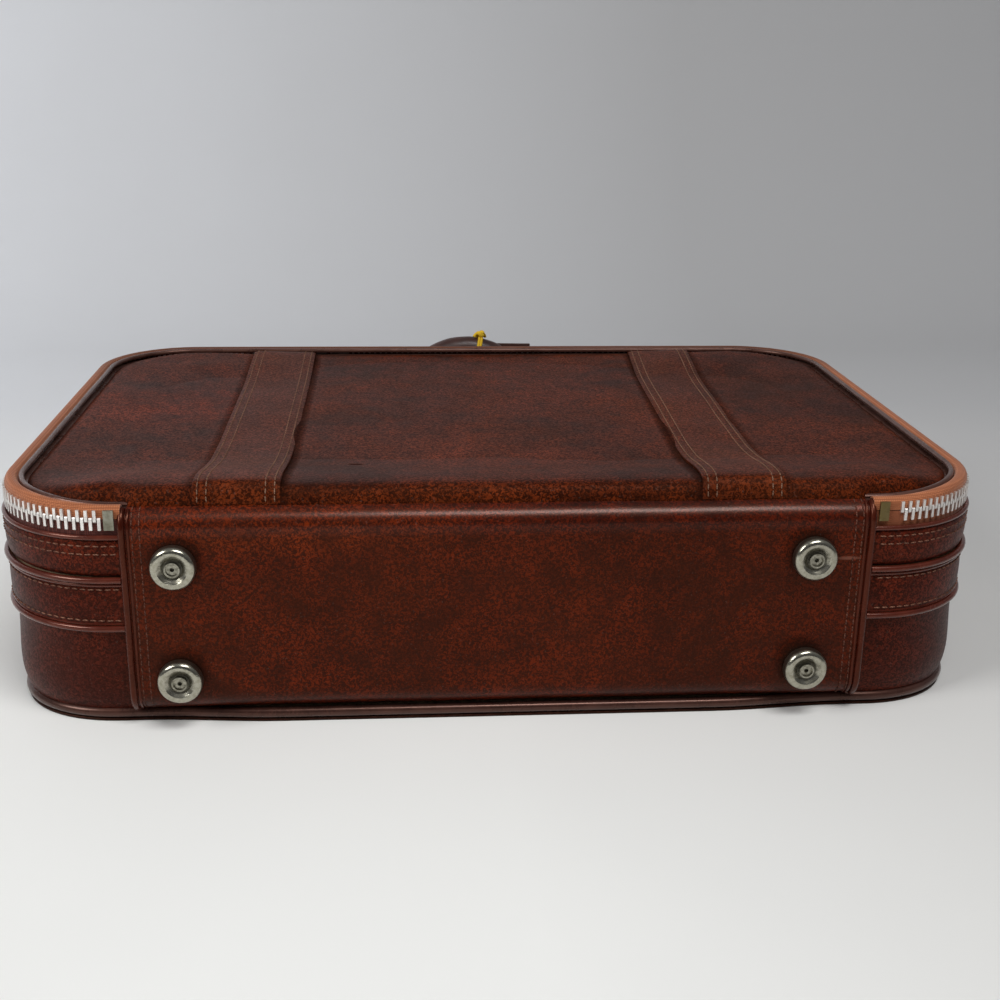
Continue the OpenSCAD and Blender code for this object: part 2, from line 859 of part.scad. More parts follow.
// A steel strip inside the wall that takes the handle's load
module handle_backing_plate() {
    margin = 6;
    y = far_y + lining_in_o - seat - backing_t;
    reach = pivot_x + rivet_step + margin;
    color(nickel)
        difference() {
            translate([-reach, y, pivot_z - bracket_h / 2])
                cube([2 * reach, backing_t, bracket_h]);
            at_bracket_rivets()
                along_y(bracket_shank_d + 2 * run, -past_layers, past_wall);
        }
}

module lid_lining() {
    turned_edge = 0.5;
    color(cloth)
        sheet(panel_o - turned_edge, lid_lining_z, lid_lining_z + lining_t);
}

// A flat pocket sewn to the lining along three edges
module lid_pocket() {
    hem_w = 8;
    hem_t = 1;
    color(cloth)
        translate([-pocket_w / 2, -pocket_l / 2, lid_lining_z - seat - pocket_t])
            union() {
                translate([0, 0, pocket_t - hem_t])
                    cube([pocket_w, pocket_l, hem_t]);
                translate([hem_w, hem_w, 0])
                    cube([pocket_w - 2 * hem_w, pocket_l - 2 * hem_w, pocket_t]);
            }
}

module lid_board() {
    color(board)
        sheet(panel_o, lid_board_z, lid_board_z + lid_board_t);
}

// Wadding between the board and the cover, with the ridge beside the hinge
module lid_pad() {
    color([0.8, 0.78, 0.72])
        intersection() {
            under_lid(-lid_cover_t - seat / 2, pad_z);
            linear_extrude(ridge_z + past_wall)
                panel_plan(panel_o);
        }
}

module lid_cover() {
    color(vinyl)
        difference() {
            intersection() {
                under_lid(0, pad_z);
                linear_extrude(ridge_z + past_wall)
                    panel_plan(panel_o);
            }
            under_lid(-lid_cover_t, pad_z - past);
        }
}

// A flat strap sewn over the cover from the hinge seam to the handle side
module lid_strap(x, splay) {
    color(vinyl)
        intersection() {
            difference() {
                under_lid(strap_t + run, pad_z);
                under_lid(run, pad_z - past);
            }
            linear_extrude(ridge_z + past_wall)
                polygon([
                    [x - strap_w / 2, seam_y], [x + strap_w / 2, seam_y],
                    [x + splay + strap_w / 2, panel_far_y], [x + splay - strap_w / 2, panel_far_y]
                ]);
        }
}

module lid_strap_left() {
    lid_strap(strap_shift - strap_spacing / 2, 0);
}

module lid_strap_right() {
    lid_strap(strap_shift + strap_spacing / 2, strap_splay);
}

module lid_welt() {
    color(piping_red)
        open_trip(lid_ring_half)
            translate([lid_welt_o, rim_z - lid_welt_d / 2])
                circle(d = lid_welt_d);
}

// The upper tape, which rolls over a shoulder to the welt
module zip_tape_upper() {
    tape_drop = 0.7;
    base = zip_z + tape_split / 2;
    bend_z = rim_z - shoulder_r - tape_drop;
    color(tan_tape)
        open_trip(lid_ring_half)
            union() {
                strip(tape_o - tape_t / 2, tape_o + tape_t / 2, base, bend_z);
                translate([shoulder_o, bend_z])
                    difference() {
                        intersection() {
                            circle(r = shoulder_r);
                            square(shoulder_r + past);
                        }
                        circle(r = shoulder_r - tape_t);
                    }
            }
}

module zip_teeth_upper() {
    color(nickel)
        tooth_row(0.5, 1);
}

// The top of the hinge panel, which turns with the lid
module hinge_strip() {
    half = hinge_half - end_piping_d / 2 - seat;
    roll_r = 0.8 * band_t;
    low_z = zip_z + part_gap;
    color(vinyl)
        rotate([90, 0, 90])
            linear_extrude(2 * half, center = true)
                polygon(concat(
                    [[near_y, low_z], [near_y + band_t, low_z], [near_y + band_t, seam_z]],
                    [for (a = [90 : -2 * arc_step : 0])
                        [near_y + roll_r * (1 - cos(a)), seam_z - roll_r * (1 - sin(a))]]
                ));
}

module hinge_piping_ends() {
    color(piping_red)
        for (x = [-hinge_half, hinge_half])
            translate([x, near_y - end_bead_o, zip_z + part_gap])
                cylinder(d = end_piping_d, h = seam_z + past - zip_z - part_gap);
}

// Places its children at the handle's pivot line, leaning as it rests
module on_handle() {
    translate([0, pivot_y, pivot_z])
        rotate([handle_lean, 0, 0])
            children();
}

// An eye at each end of the handle, with the tang that meets the grip
module handle_eyes() {
    tang_l = (arch_r - tang_d / 2) * tan(grip_end_a) - seat;
    color(nickel)
        on_handle()
            for (m = [0, 1])
                mirror([m, 0, 0])
                    translate([pivot_x, 0, 0])
                        difference() {
                            union() {
                                rotate([0, 90, 0])
                                    cylinder(d = eye_d, h = eye_w, center = true);
                                rotate([0, arch_half_a - 90, 0])
                                    cylinder(d = tang_d, h = tang_l);
                            }
                            rotate([0, 90, 0])
                                cylinder(d = pivot_d + 2 * run, h = eye_w + 2 * past, center = true);
                        }
}

// A padded grip, bent to the arch
module handle_grip() {
    grip_a = arch_half_a - grip_end_a;
    color([0.2, 0.09, 0.06])
        on_handle()
            translate([0, 0, arch_z])
                rotate([90, 0, 0])
                    rotate(90 - grip_a)
                        rotate_extrude(angle = 2 * grip_a)
                            translate([arch_r, 0])
                                circle(d = grip_d);
}

// A cord ring round the grip, with its knot
module tag_tie() {
    color([0.9, 0.68, 0.1])
        on_handle()
            translate([0, 0, arch_z])
                rotate([0, tie_a, 0])
                    translate([0, 0, arch_r]) {
                        rotate([0, 90, 0])
                            rotate_extrude()
                                translate([grip_d / 2 + seat + tie_d / 2, 0])
                                    circle(d = tie_d);
                        translate([0, 0, grip_d / 2 + tie_d])
                            sphere(d = 2 * tie_d);
                    }
}

// A blank leather strap held by the tie, lying along the outside of the arch
module tag_strap() {
    tag_drop = 3.8;
    tag_x = arch_r * sin(tie_a) + tie_d / 2 + slack;
    tag_z = handle_rise - tag_drop;
    color([0.16, 0.07, 0.05])
        on_handle()
            translate([tag_x, grip_d / 2 + seat, tag_z - tag_h / 2])
                cube([tag_l, tag_t, tag_h]);
}

// A slider's plate with cut corners, from o outwards
module slider_plate(o) {
    cut = 2;
    x = slider_l / 2;
    translate([0, o + slider_plate_t, 0])
        rotate([90, 0, 0])
            linear_extrude(slider_plate_t)
                polygon([
                    [-x, slider_z0], [x, slider_z0], [x, slider_z1 - cut], [x - cut, slider_z1],
                    [cut - x, slider_z1], [-x, slider_z1 - cut]
                ]);
}

// Plates before and behind the teeth, with the bail that holds the pull
module slider(x) {
    lip_t = 0.8;
    tape_gap = 0.3;
    bite = 0.2;
    lip_o = tape_o + tape_t / 2 + tape_gap;
    color(nickel)
        translate([x, far_y, 0])
            difference() {
                union() {
                    slider_plate(plate_o);
                    slider_plate(inner_plate_o - slider_plate_t);
                    translate([-slider_l / 2, lip_o, slider_z0 - lip_t])
                        cube([slider_l, plate_face_o - lip_o, lip_t]);
                    translate([-bail_d / 2, plate_face_o - bite, zip_z - bail_h / 2])
                        cube([bail_d, pull_o - plate_face_o + bite, bail_h]);
                    translate([0, pull_o, zip_z])
                        cylinder(d = bail_d, h = bail_h, center = true);
                }
                translate([0, pull_o, zip_z])
                    cylinder(d = pull_pin_d + 2 * run, h = bail_h + 2 * past, center = true);
            }
}

module slider_left() {
    slider(slider_left_x);
}

module slider_right() {
    slider(slider_right_x);
}

// A round-ended tab forked round the bail, with its pin
module pull(x, side) {
    fork_gap = 0.25;
    fork = bail_h + 2 * fork_gap;
    root = bail_d / 2 + slack;
    hole_d = 3;
    color(nickel)
        translate([x, far_y + pull_o, zip_z])
            mirror([side < 0 ? 1 : 0, 0, 0])
                union() {
                    cylinder(d = pull_pin_d, h = fork + past, center = true);
                    difference() {
                        union() {
                            translate([0, -pull_t / 2, -pull_w / 2])
                                cube([pull_l - pull_w / 2, pull_t, pull_w]);
                            translate([pull_l - pull_w / 2, 0, 0])
                                along_y(pull_w, -pull_t / 2, pull_t / 2);
                            cylinder(d = pull_t, h = pull_w, center = true);
                        }
                        translate([-bail_d, -bail_d, -fork / 2])
                            cube([bail_d + root, 2 * bail_d, fork]);
                        translate([pull_l - pull_w / 2, 0, 0])
                            along_y(hole_d, -bail_d, bail_d);
                    }
                }
}

module pull_left() {
    pull(slider_left_x, -1);
}

module pull_right() {
    pull(slider_right_x, 1);
}

back_cover();
back_board();
back_welt();
side_frame();
side_cover();
belt_piping_lower();
belt_band();
belt_piping_upper();
zip_band();
zip_welt_lower();
zip_tape_lower();
zip_teeth_lower();
zip_end_stops();
hinge_panel();
hinge_piping_left();
hinge_piping_right();
feet();
foot_rivets();
foot_washers();
tray_lining();
tie_strap_left();
tie_strap_right();
tie_buckle();
handle_brackets();
bracket_rivets();
handle_pins();
handle_backing_plate();
lid_lining();
lid_pocket();
lid_board();
lid_pad();
lid_cover();
lid_strap_left();
lid_strap_right();
lid_welt();
zip_tape_upper();
zip_teeth_upper();
hinge_strip();
hinge_piping_ends();
handle_eyes();
handle_grip();
tag_tie();
tag_strap();
slider_left();
slider_right();
pull_left();
pull_right();
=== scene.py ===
"""The looks of a zip-round travel case in marbled vinyl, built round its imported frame."""
import json
import math

import bmesh
import bpy
import numpy as np
from mathutils import Matrix, Vector, noise


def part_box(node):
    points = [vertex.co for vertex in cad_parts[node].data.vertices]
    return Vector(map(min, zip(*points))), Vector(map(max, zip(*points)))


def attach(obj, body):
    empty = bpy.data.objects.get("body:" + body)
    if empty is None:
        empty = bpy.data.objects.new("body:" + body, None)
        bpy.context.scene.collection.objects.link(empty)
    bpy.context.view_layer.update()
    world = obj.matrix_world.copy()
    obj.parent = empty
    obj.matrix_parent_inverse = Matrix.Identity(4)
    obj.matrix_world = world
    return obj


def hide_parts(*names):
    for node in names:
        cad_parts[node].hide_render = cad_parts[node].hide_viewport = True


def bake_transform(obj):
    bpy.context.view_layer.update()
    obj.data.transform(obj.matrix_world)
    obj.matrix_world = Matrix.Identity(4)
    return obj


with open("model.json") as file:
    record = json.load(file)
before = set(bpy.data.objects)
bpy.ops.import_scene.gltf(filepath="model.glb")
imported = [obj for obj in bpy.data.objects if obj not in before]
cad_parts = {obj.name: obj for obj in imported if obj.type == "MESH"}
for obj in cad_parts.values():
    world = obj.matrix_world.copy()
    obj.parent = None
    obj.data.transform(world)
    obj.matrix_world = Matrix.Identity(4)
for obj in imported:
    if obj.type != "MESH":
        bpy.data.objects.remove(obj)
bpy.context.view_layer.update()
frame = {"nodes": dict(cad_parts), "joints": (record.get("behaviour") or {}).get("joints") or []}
NODES = frame["nodes"]
mm = 0.001

# Sizes of the case, read from the frame
HALF_W, HALF_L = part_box("zip_band")[1].x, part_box("zip_band")[1].y
NEAR_Y, FAR_Y = -HALF_L, HALF_L
HINGE = Vector(next(j for j in frame["joints"] if j["name"] == "lid_hinge")["pos_m"])
PIVOT = Vector(next(j for j in frame["joints"] if j["name"] == "handle_pivot")["pos_m"])
ZIP_Z = HINGE.z
RIM_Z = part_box("lid_welt")[1].z
RIDGE_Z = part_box("lid_cover")[1].z
HINGE_HALF = (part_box("hinge_piping_right")[0].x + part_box("hinge_piping_right")[1].x) / 2
ZIP_GAP = HINGE_HALF + 0.3 * mm
BEAD_GAP = HINGE_HALF + 1.5 * mm

# Sizes of the case that the frame's boxes don't give
CORNER_R = 56 * mm
CORNER_X, CORNER_Y = HALF_W - CORNER_R, HALF_L - CORNER_R

# Steps of the sweeps, and the reach within which doubled points are merged
TURN_STEPS = 18
RUN_STEP = 9 * mm
WELD = 0.01 * mm

# Sizes of the lid's cushion
PANEL_O = -11.2 * mm
PANEL_Z = ZIP_Z + 5.3 * mm
SEAM_Y, SEAM_Z = NEAR_Y + 7.2 * mm, ZIP_Z + 4.2 * mm
RIDGE_ROLL, RIDGE_FALL = 9 * mm, 36 * mm
EDGE_ROLL, ROLL_POWER = 7 * mm, 2.4
LID_SAG, GROOVE_DEPTH = 3.2 * mm, 2.8 * mm
FAR_BULGE, FAR_DIP = 2.6 * mm, 1.2 * mm
STRAP_W, STRAP_T = 38.5 * mm, 1.9 * mm

# How far the soft walls hang out and the rim dips, and two points on the hinge side, below and above the
# zip
WALL_FULLNESS = 4 * mm
RIM_DIP = 2.4 * mm
BEND_START, BEND_END = (0, NEAR_Y, ZIP_Z - 7 * mm), (0, NEAR_Y, ZIP_Z + 4 * mm)

# Feet, sewing and handle
FOOT_R = 10 * mm
STITCH_PITCH, STITCH_L, THREAD_D = 3.7 * mm, 2.9 * mm, 0.72 * mm
STITCH_LIFT = 0.1 * mm
ARCH_R, ARCH_Z, HANDLE_LEAN = 39.5 * mm, 4.13 * mm, math.radians(3)


# Modelling tools

def deselect():
    """Leaves nothing selected, so that an operator reaches only what is made next."""
    if bpy.context.mode != "OBJECT":
        bpy.ops.object.mode_set(mode="OBJECT")
    bpy.ops.object.select_all(action="DESELECT")


def only(piece):
    """Makes a piece the active one and the only one selected."""
    deselect()
    bpy.context.view_layer.objects.active = piece
    piece.select_set(True)
    return piece


def begin(name):
    """Names the primitive that was just added and returns it."""
    piece = bpy.context.object
    piece.name = name
    piece.data.name = name
    return piece


def wire(points):
    """Adds a closed wire through the points, in edit mode and selected."""
    bpy.ops.mesh.primitive_circle_add(vertices=len(points), radius=mm)
    if bpy.context.mode == "OBJECT":
        bpy.ops.object.mode_set(mode="EDIT")
    bpy.ops.mesh.select_mode(type="VERT")
    mesh = bmesh.from_edit_mesh(bpy.context.object.data)
    mesh.verts.ensure_lookup_table()
    for vert, point in zip(list(mesh.verts)[-len(points):], points):
        vert.co = point
    bmesh.update_edit_mesh(bpy.context.object.data)


def put_selected(points):
    """Puts the selected ring's vertices, in their order, on the points."""
    mesh = bmesh.from_edit_mesh(bpy.context.object.data)
    for vert, point in zip([v for v in mesh.verts if v.select], points):
        vert.co = point
    bmesh.update_edit_mesh(bpy.context.object.data)


def loft(loops):
    """Adds a tube through rings of points, by extruding the first ring to each of the others."""
    wire(loops[0])
    for loop in loops[1:]:
        bpy.ops.mesh.extrude_region_move()
        put_selected(loop)


def ring(middle, one, other, radius, sides):
    """A circle of points round a middle, in the plane of two directions."""
    turns = [math.tau * i / sides for i in range(sides)]
    return [middle + one * radius * math.cos(a) + other * radius * math.sin(a) for a in turns]


def run(vector):
    """Extrudes the selected wires along a vector in short steps."""
    vector = Vector(vector)
    steps = max(1, round(vector.length / RUN_STEP))
    for _ in range(steps):
        bpy.ops.mesh.extrude_region_move(TRANSFORM_OT_translate={"value": vector / steps})


def turn(x, y):
    """Spins the selected wires a quarter turn round a corner of the case."""
    bpy.ops.mesh.spin(steps=TURN_STEPS, angle=math.pi / 2, center=(x, y, 0), axis=(0, 0, 1))


def go_round(gap):
    """Carries the selected wires from the left end of the zip round the case to the right end."""
    run((gap - CORNER_X, 0, 0))
    turn(-CORNER_X, -CORNER_Y)
    run((0, 2 * CORNER_Y, 0))
    turn(-CORNER_X, CORNER_Y)
    run((2 * CORNER_X, 0, 0))
    turn(CORNER_X, CORNER_Y)
    run((0, -2 * CORNER_Y, 0))
    turn(CORNER_X, -CORNER_Y)
    run((gap - CORNER_X, 0, 0))


def close_up(angle=35):
    """Merges doubles, caps open ends, turns faces outwards, smooths, and leaves edit mode."""
    piece = bpy.context.object
    bpy.ops.mesh.select_all(action="SELECT")
    bpy.ops.mesh.remove_doubles(threshold=WELD)
    bpy.ops.mesh.fill_holes(sides=0)
    bpy.ops.mesh.normals_make_consistent(inside=False)
    mesh = bmesh.from_edit_mesh(piece.data)
    if mesh.calc_volume(signed=True) < 0:
        bpy.ops.mesh.flip_normals()
    bpy.ops.object.mode_set(mode="OBJECT")
    bpy.ops.object.shade_smooth_by_angle(angle=math.radians(angle))
    return piece


def sweep(name, profiles, gap=ZIP_GAP, angle=40):
    """Closed profiles of (out, height) points carried round the case as one piece."""
    deselect()
    for profile in profiles:
        wire([(-gap, NEAR_Y - out, z) for out, z in profile])
    begin(name)
    bpy.ops.mesh.select_all(action="SELECT")
    go_round(gap)
    return close_up(angle)


def bead(out, z, radius, sides=14):
    """The round profile of a piping bead."""
    turns = [math.tau * i / sides for i in range(sides)]
    return [(out + radius * math.cos(a), z + radius * math.sin(a)) for a in turns]


def skin(outer, depth):
    """The profile of a band: its outer line, and the same line a wall's depth further in."""
    return list(outer) + [(out - depth, z) for out, z in reversed(outer)]


def shape(piece, place):
    """Moves every vertex to where place() puts it."""
    for vert in piece.data.vertices:
        vert.co = place(vert.co)
    piece.data.update()


def uneven(piece, amount, size, seed=0):
    """Moves a skin in and out by a soft unevenness of a given amount and size."""
    shift = Vector((seed * 3.1, seed * 1.7, seed * 2.3))
    normals = [n.vector.copy() for n in piece.data.vertex_normals]
    for vert, normal in zip(piece.data.vertices, normals):
        vert.co += normal * amount * noise.noise(vert.co / size + shift)
    piece.data.update()


def modifier(piece, kind, **settings):
    """Adds a modifier to a piece and applies it."""
    only(piece)
    change = piece.modifiers.new(kind.lower(), kind)
    for key, value in settings.items():
        setattr(change, key, value)
    bpy.ops.object.modifier_apply(modifier=change.name)
    return piece


def grid(name, columns, rows, place):
    """A sheet of columns by rows cells, put in place by a function of (u, v) from 0 to 1."""
    deselect()
    bpy.ops.mesh.primitive_grid_add(x_subdivisions=columns, y_subdivisions=rows, size=1)
    piece = begin(name)
    shape(piece, lambda co: place(co.x + 0.5, co.y + 0.5))
    return piece


def smooth(piece, angle=45):
    """Shades a piece smooth, with its sharp edges kept."""
    only(piece)
    bpy.ops.object.shade_smooth_by_angle(angle=math.radians(angle))
    return piece


def outwards(piece):
    """Turns a closed piece's faces outwards."""
    only(piece)
    bpy.ops.object.mode_set(mode="EDIT")
    bpy.ops.mesh.select_all(action="SELECT")
    bpy.ops.mesh.normals_make_consistent(inside=False)
    mesh = bmesh.from_edit_mesh(piece.data)
    if mesh.calc_volume(signed=True) < 0:
        bpy.ops.mesh.flip_normals()
    bpy.ops.object.mode_set(mode="OBJECT")
    return piece


def upwards(piece):
    """Turns a sheet's faces upwards."""
    if sum(p.normal.z * p.area for p in piece.data.polygons) < 0:
        only(piece)
        bpy.ops.object.mode_set(mode="EDIT")
        bpy.ops.mesh.select_all(action="SELECT")
        bpy.ops.mesh.flip_normals()
        bpy.ops.object.mode_set(mode="OBJECT")
    return piece


def thicken(piece, wall, offset, bevel=0.0, segments=2, angle=60):
    """Gives a sheet its wall, and rounded edges where a bevel is named."""
    modifier(piece, "SOLIDIFY", thickness=wall, offset=offset)
    if bevel:
        modifier(piece, "BEVEL", width=bevel, segments=segments, limit_method="ANGLE",
                 angle_limit=math.radians(50))
    return outwards(smooth(piece, angle))


def pick_edges(test):
    """Selects the edges that pass a test, in edit mode."""
    bpy.ops.mesh.select_mode(type="EDGE")
    bpy.ops.mesh.select_all(action="DESELECT")
    mesh = bmesh.from_edit_mesh(bpy.context.object.data)
    for edge in [e for e in mesh.edges if test(e)]:
        edge.select_set(True)
    bmesh.update_edit_mesh(bpy.context.object.data)


def fade(t):
    """A smooth step from 0 to 1."""
    t = min(max(t, 0), 1)
    return t * t * (3 - 2 * t)


# Shader tools

def put(tree, kind, values=None, **settings):
    """Adds a shader node; each value is a number, a colour or another node's output."""
    item = tree.nodes.new("ShaderNode" + kind)
    for key, value in settings.items():
        setattr(item, key, value)
    for key, value in (values or {}).items():
        if isinstance(value, bpy.types.NodeSocket):
            tree.links.new(value, item.inputs[key])
        else:
            item.inputs[key].default_value = value
    return item


def tint(tree, factor, first, second, mode="MIX", amount=1.0):
    """Mixes two colours by a factor, or by an amount of it."""
    if amount != 1:
        factor = sums(tree, "MULTIPLY", factor, amount)
    mix = put(tree, "Mix", {0: factor}, data_type="RGBA", blend_type=mode)
    for index, value in ((6, first), (7, second)):
        if isinstance(value, bpy.types.NodeSocket):
            tree.links.new(value, mix.inputs[index])
        else:
            mix.inputs[index].default_value = (*value, 1)
    return mix.outputs[2]


def remap(tree, value, low, high, to_low=0.0, to_high=1.0):
    """Stretches a value's range, held at its ends."""
    stretch = put(tree, "MapRange", {"Value": value, "From Min": low, "From Max": high,
                                     "To Min": to_low, "To Max": to_high})
    return stretch.outputs["Result"]


def sums(tree, operation, first, second):
    """One step of arithmetic on two values."""
    return put(tree, "Math", {0: first, 1: second}, operation=operation).outputs[0]


def clouds(tree, where, scale, **values):
    """Soft noise of a given scale."""
    values = {key.title(): value for key, value in values.items()}
    return put(tree, "TexNoise", {"Vector": where, "Scale": scale, **values}).outputs["Fac"]


def speckle(tree, where, size, detail=2.0, rough=0.5):
    """Soft noise with features of about a given size in metres."""
    return clouds(tree, where, 0.5 / size, detail=detail, roughness=rough)


def shade(colour, share):
    """A colour made darker, or lighter where the share is over 1."""
    return tuple(min(1, c * share) for c in colour)


def effect(name, inputs, outputs):
    """An empty shader group with named values in and out."""
    tree = bpy.data.node_groups.new(name, "ShaderNodeTree")
    for label, value in inputs.items():
        socket = tree.interface.new_socket(label, in_out="INPUT", socket_type="NodeSocketFloat")
        socket.default_value = value
    for label in outputs:
        tree.interface.new_socket(label, in_out="OUTPUT", socket_type="NodeSocketFloat")
    return tree, tree.nodes.new("NodeGroupInput"), tree.nodes.new("NodeGroupOutput")


def give(tree, outer, **results):
    """Joins an effect's results to its outputs."""
    for key, result in results.items():
        tree.links.new(result, outer.inputs[key.title()])
    return tree


def object_place(tree, shift=0.0):
    """Object coordinates moved by a value, so that copies of an effect differ."""
    place = put(tree, "TexCoord").outputs["Object"]
    by = (shift, shift * 0.7, -shift * 0.4)
    return put(tree, "VectorMath", {0: place, 1: by}, operation="ADD").outputs[0]


def axes(tree):
    """Object coordinates as separate X, Y and Z."""
    return put(tree, "SeparateXYZ", {0: object_place(tree)}).outputs


def marbling_effect():
    """Printed vinyl: rusty blotches that gather in clouds, a fine fibrous print and a pebbled grain."""
    tree, inner, outer = effect("marbling", {"Cloud Size": 0.05, "Blotch Size": 0.006},
                                ["Cloud", "Fibre", "Grain"])
    where = object_place(tree, 0.37)
    cloud_scale = sums(tree, "DIVIDE", 0.5, inner.outputs["Cloud Size"])
    blotch_scale = sums(tree, "DIVIDE", 0.5, inner.outputs["Blotch Size"])
    broad = clouds(tree, where, cloud_scale, detail=3.0, distortion=0.4)
    blotch = clouds(tree, where, blotch_scale, detail=4.0, roughness=0.6)
    fibre = clouds(tree, where, 1 / (1.25 * mm), detail=2.5, roughness=0.6, distortion=0.9)
    pebble = put(tree, "TexVoronoi", {"Vector": where, "Scale": 1 / (1.1 * mm)}, feature="SMOOTH_F1")
    gathered = sums(tree, "ADD", sums(tree, "MULTIPLY", broad, 0.5), sums(tree, "MULTIPLY", blotch, 0.5))
    grain = sums(tree, "ADD", pebble.outputs["Distance"], sums(tree, "MULTIPLY", fibre, 0.9))
    return give(tree, outer, cloud=remap(tree, gathered, 0.41, 0.67), fibre=remap(tree, fibre, 0.43, 0.59),
                grain=grain)


def weave_effect():
    """Plain weave from crossed waves, with uneven threads."""
    tree, inner, outer = effect("weave", {"Thread Size": 0.0006}, ["Thread", "Uneven"])
    where = object_place(tree)
    drift = speckle(tree, where, 4 * mm)
    scale = sums(tree, "DIVIDE", 0.157, inner.outputs["Thread Size"])
    wave = {"Vector": where, "Scale": scale, "Distortion": 0.6}
    warp, weft, rise = [put(tree, "TexWave", wave, bands_direction=way).outputs["Fac"] for way in "XYZ"]
    crossed = sums(tree, "ADD", sums(tree, "MULTIPLY", warp, weft), sums(tree, "MULTIPLY", rise, 0.5))
    return give(tree, outer, thread=crossed, uneven=drift)


def wear_effect():
    """Patches of rubbing, fine scratches and settled dust."""
    tree, inner, outer = effect("wear", {"Rub Size": 0.02}, ["Rub", "Scratch", "Dust"])
    where = object_place(tree, 1.9)
    scale = sums(tree, "DIVIDE", 0.5, inner.outputs["Rub Size"])
    rub = clouds(tree, where, scale, detail=5.0, roughness=0.7)
    stretched = put(tree, "Mapping", {"Vector": where, "Rotation": (0.2, 0.5, 0.6),
                                      "Scale": (60.0, 900.0, 700.0)})
    lines = clouds(tree, stretched.outputs[0], 1.0, detail=2.0)
    dust = speckle(tree, where, 0.6 * mm, 1.0)
    return give(tree, outer, rub=remap(tree, rub, 0.45, 0.75), scratch=remap(tree, lines, 0.62, 0.72),
                dust=remap(tree, dust, 0.66, 0.76))


def foot_effect():
    """How far a point lies from the middle of the nearest foot, seen square on to the hinge side."""
    tree, _, outer = effect("foot_distance", {}, ["Distance"])
    where = axes(tree)
    lo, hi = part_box("feet")
    squares = []
    for axis, low, high in (("X", lo.x, hi.x), ("Z", lo.z, hi.z)):
        from_middle = sums(tree, "SUBTRACT", where[axis], (low + high) / 2)
        aside = sums(tree, "SUBTRACT", sums(tree, "ABSOLUTE", from_middle, 0.0), (high - low) / 2 - FOOT_R)
        squares.append(sums(tree, "MULTIPLY", aside, aside))
    return give(tree, outer, distance=sums(tree, "SQRT", sums(tree, "ADD", *squares), 0.0))


SHEEN_TINT = (1.0, 0.42, 0.26, 1)
# The first colour is a near black, painted as shade round the feet, along the lid straps' edges and in a
# small dent in the lid.
PAINTED_SHADE, DUST, SCUFF = (0.006, 0.002, 0.0015), (0.35, 0.30, 0.26), (0.30, 0.13, 0.09)
MARBLING, WEAVE, WEAR, FOOT_DISTANCE = marbling_effect(), weave_effect(), wear_effect(), foot_effect()


def use(tree, effect_tree, **values):
    """Places a shared effect in a material with its own values."""
    item = tree.nodes.new("ShaderNodeGroup")
    item.node_tree = effect_tree
    for key, value in values.items():
        item.inputs[key.replace("_", " ").title()].default_value = value
    return item.outputs


def material(name, roughness=0.5, metallic=0.0, specular=0.5, coat=0.0):
    """A material with its fixed values set on the shader itself."""
    made = bpy.data.materials.new(name)
    made.use_nodes = True
    bsdf = made.node_tree.nodes["Principled BSDF"]
    fixed = {"Roughness": roughness, "Metallic": metallic, "Specular IOR Level": specular,
             "Coat Weight": coat, "Coat Roughness": 0.25}
    for key, value in fixed.items():
        bsdf.inputs[key].default_value = value
    return made, made.node_tree, bsdf


def finish_with(tree, bsdf, colour=None, roughness=None, height=None, depth=0.1 * mm, strength=0.5):
    """Joins colour, roughness and a bump height to the shader."""
    if colour is not None:
        tree.links.new(colour, bsdf.inputs["Base Color"])
    if roughness is not None:
        tree.links.new(roughness, bsdf.inputs["Roughness"])
    if height is not None:
        bump = put(tree, "Bump", {"Height": height, "Strength": strength, "Distance": depth})
        tree.links.new(bump.outputs["Normal"], bsdf.inputs["Normal"])


def near_to(tree, where, x, y, z, reach):
    """1 at a place, falling to 0 at a reach from it along each axis; a reach of 0 leaves that axis out."""
    total = 0.0
    for axis, middle, span in zip("XYZ", (x, y, z), reach):
        if span:
            share = sums(tree, "DIVIDE", sums(tree, "SUBTRACT", where[axis], middle), span)
            total = sums(tree, "ADD", total, sums(tree, "MULTIPLY", share, share))
    return remap(tree, total, 0.0, 1.0, 1.0, 0.0)


def panel_marks(tree, colour):
    """Painted shade in rings round the feet, a pale scuff beside one, rust along the top and a polished
    roll.
    """
    where = axes(tree)
    # Painted shade: the panel darkens in rings round the feet, where they sit in it.
    pressed = remap(tree, use(tree, FOOT_DISTANCE)["Distance"], 9.4 * mm, 14 * mm, 0.85, 0.0)
    ringed = tint(tree, pressed, colour, PAINTED_SHADE)
    scuff = near_to(tree, where, 157 * mm, 0, 78 * mm, (6.5 * mm, 0, 1.1 * mm))
    scuffed = tint(tree, scuff, ringed, SCUFF, amount=0.5)
    rusty = near_to(tree, where, -95 * mm, 0, ZIP_Z - 2 * mm, (85 * mm, 0, 17 * mm))
    warm = tint(tree, rusty, scuffed, (1.75, 2.3, 2.0), "MULTIPLY", 0.9)
    polish = remap(tree, where["Z"], ZIP_Z - 9 * mm, ZIP_Z - 3 * mm, 0.0, 0.3)
    return warm, pressed, polish


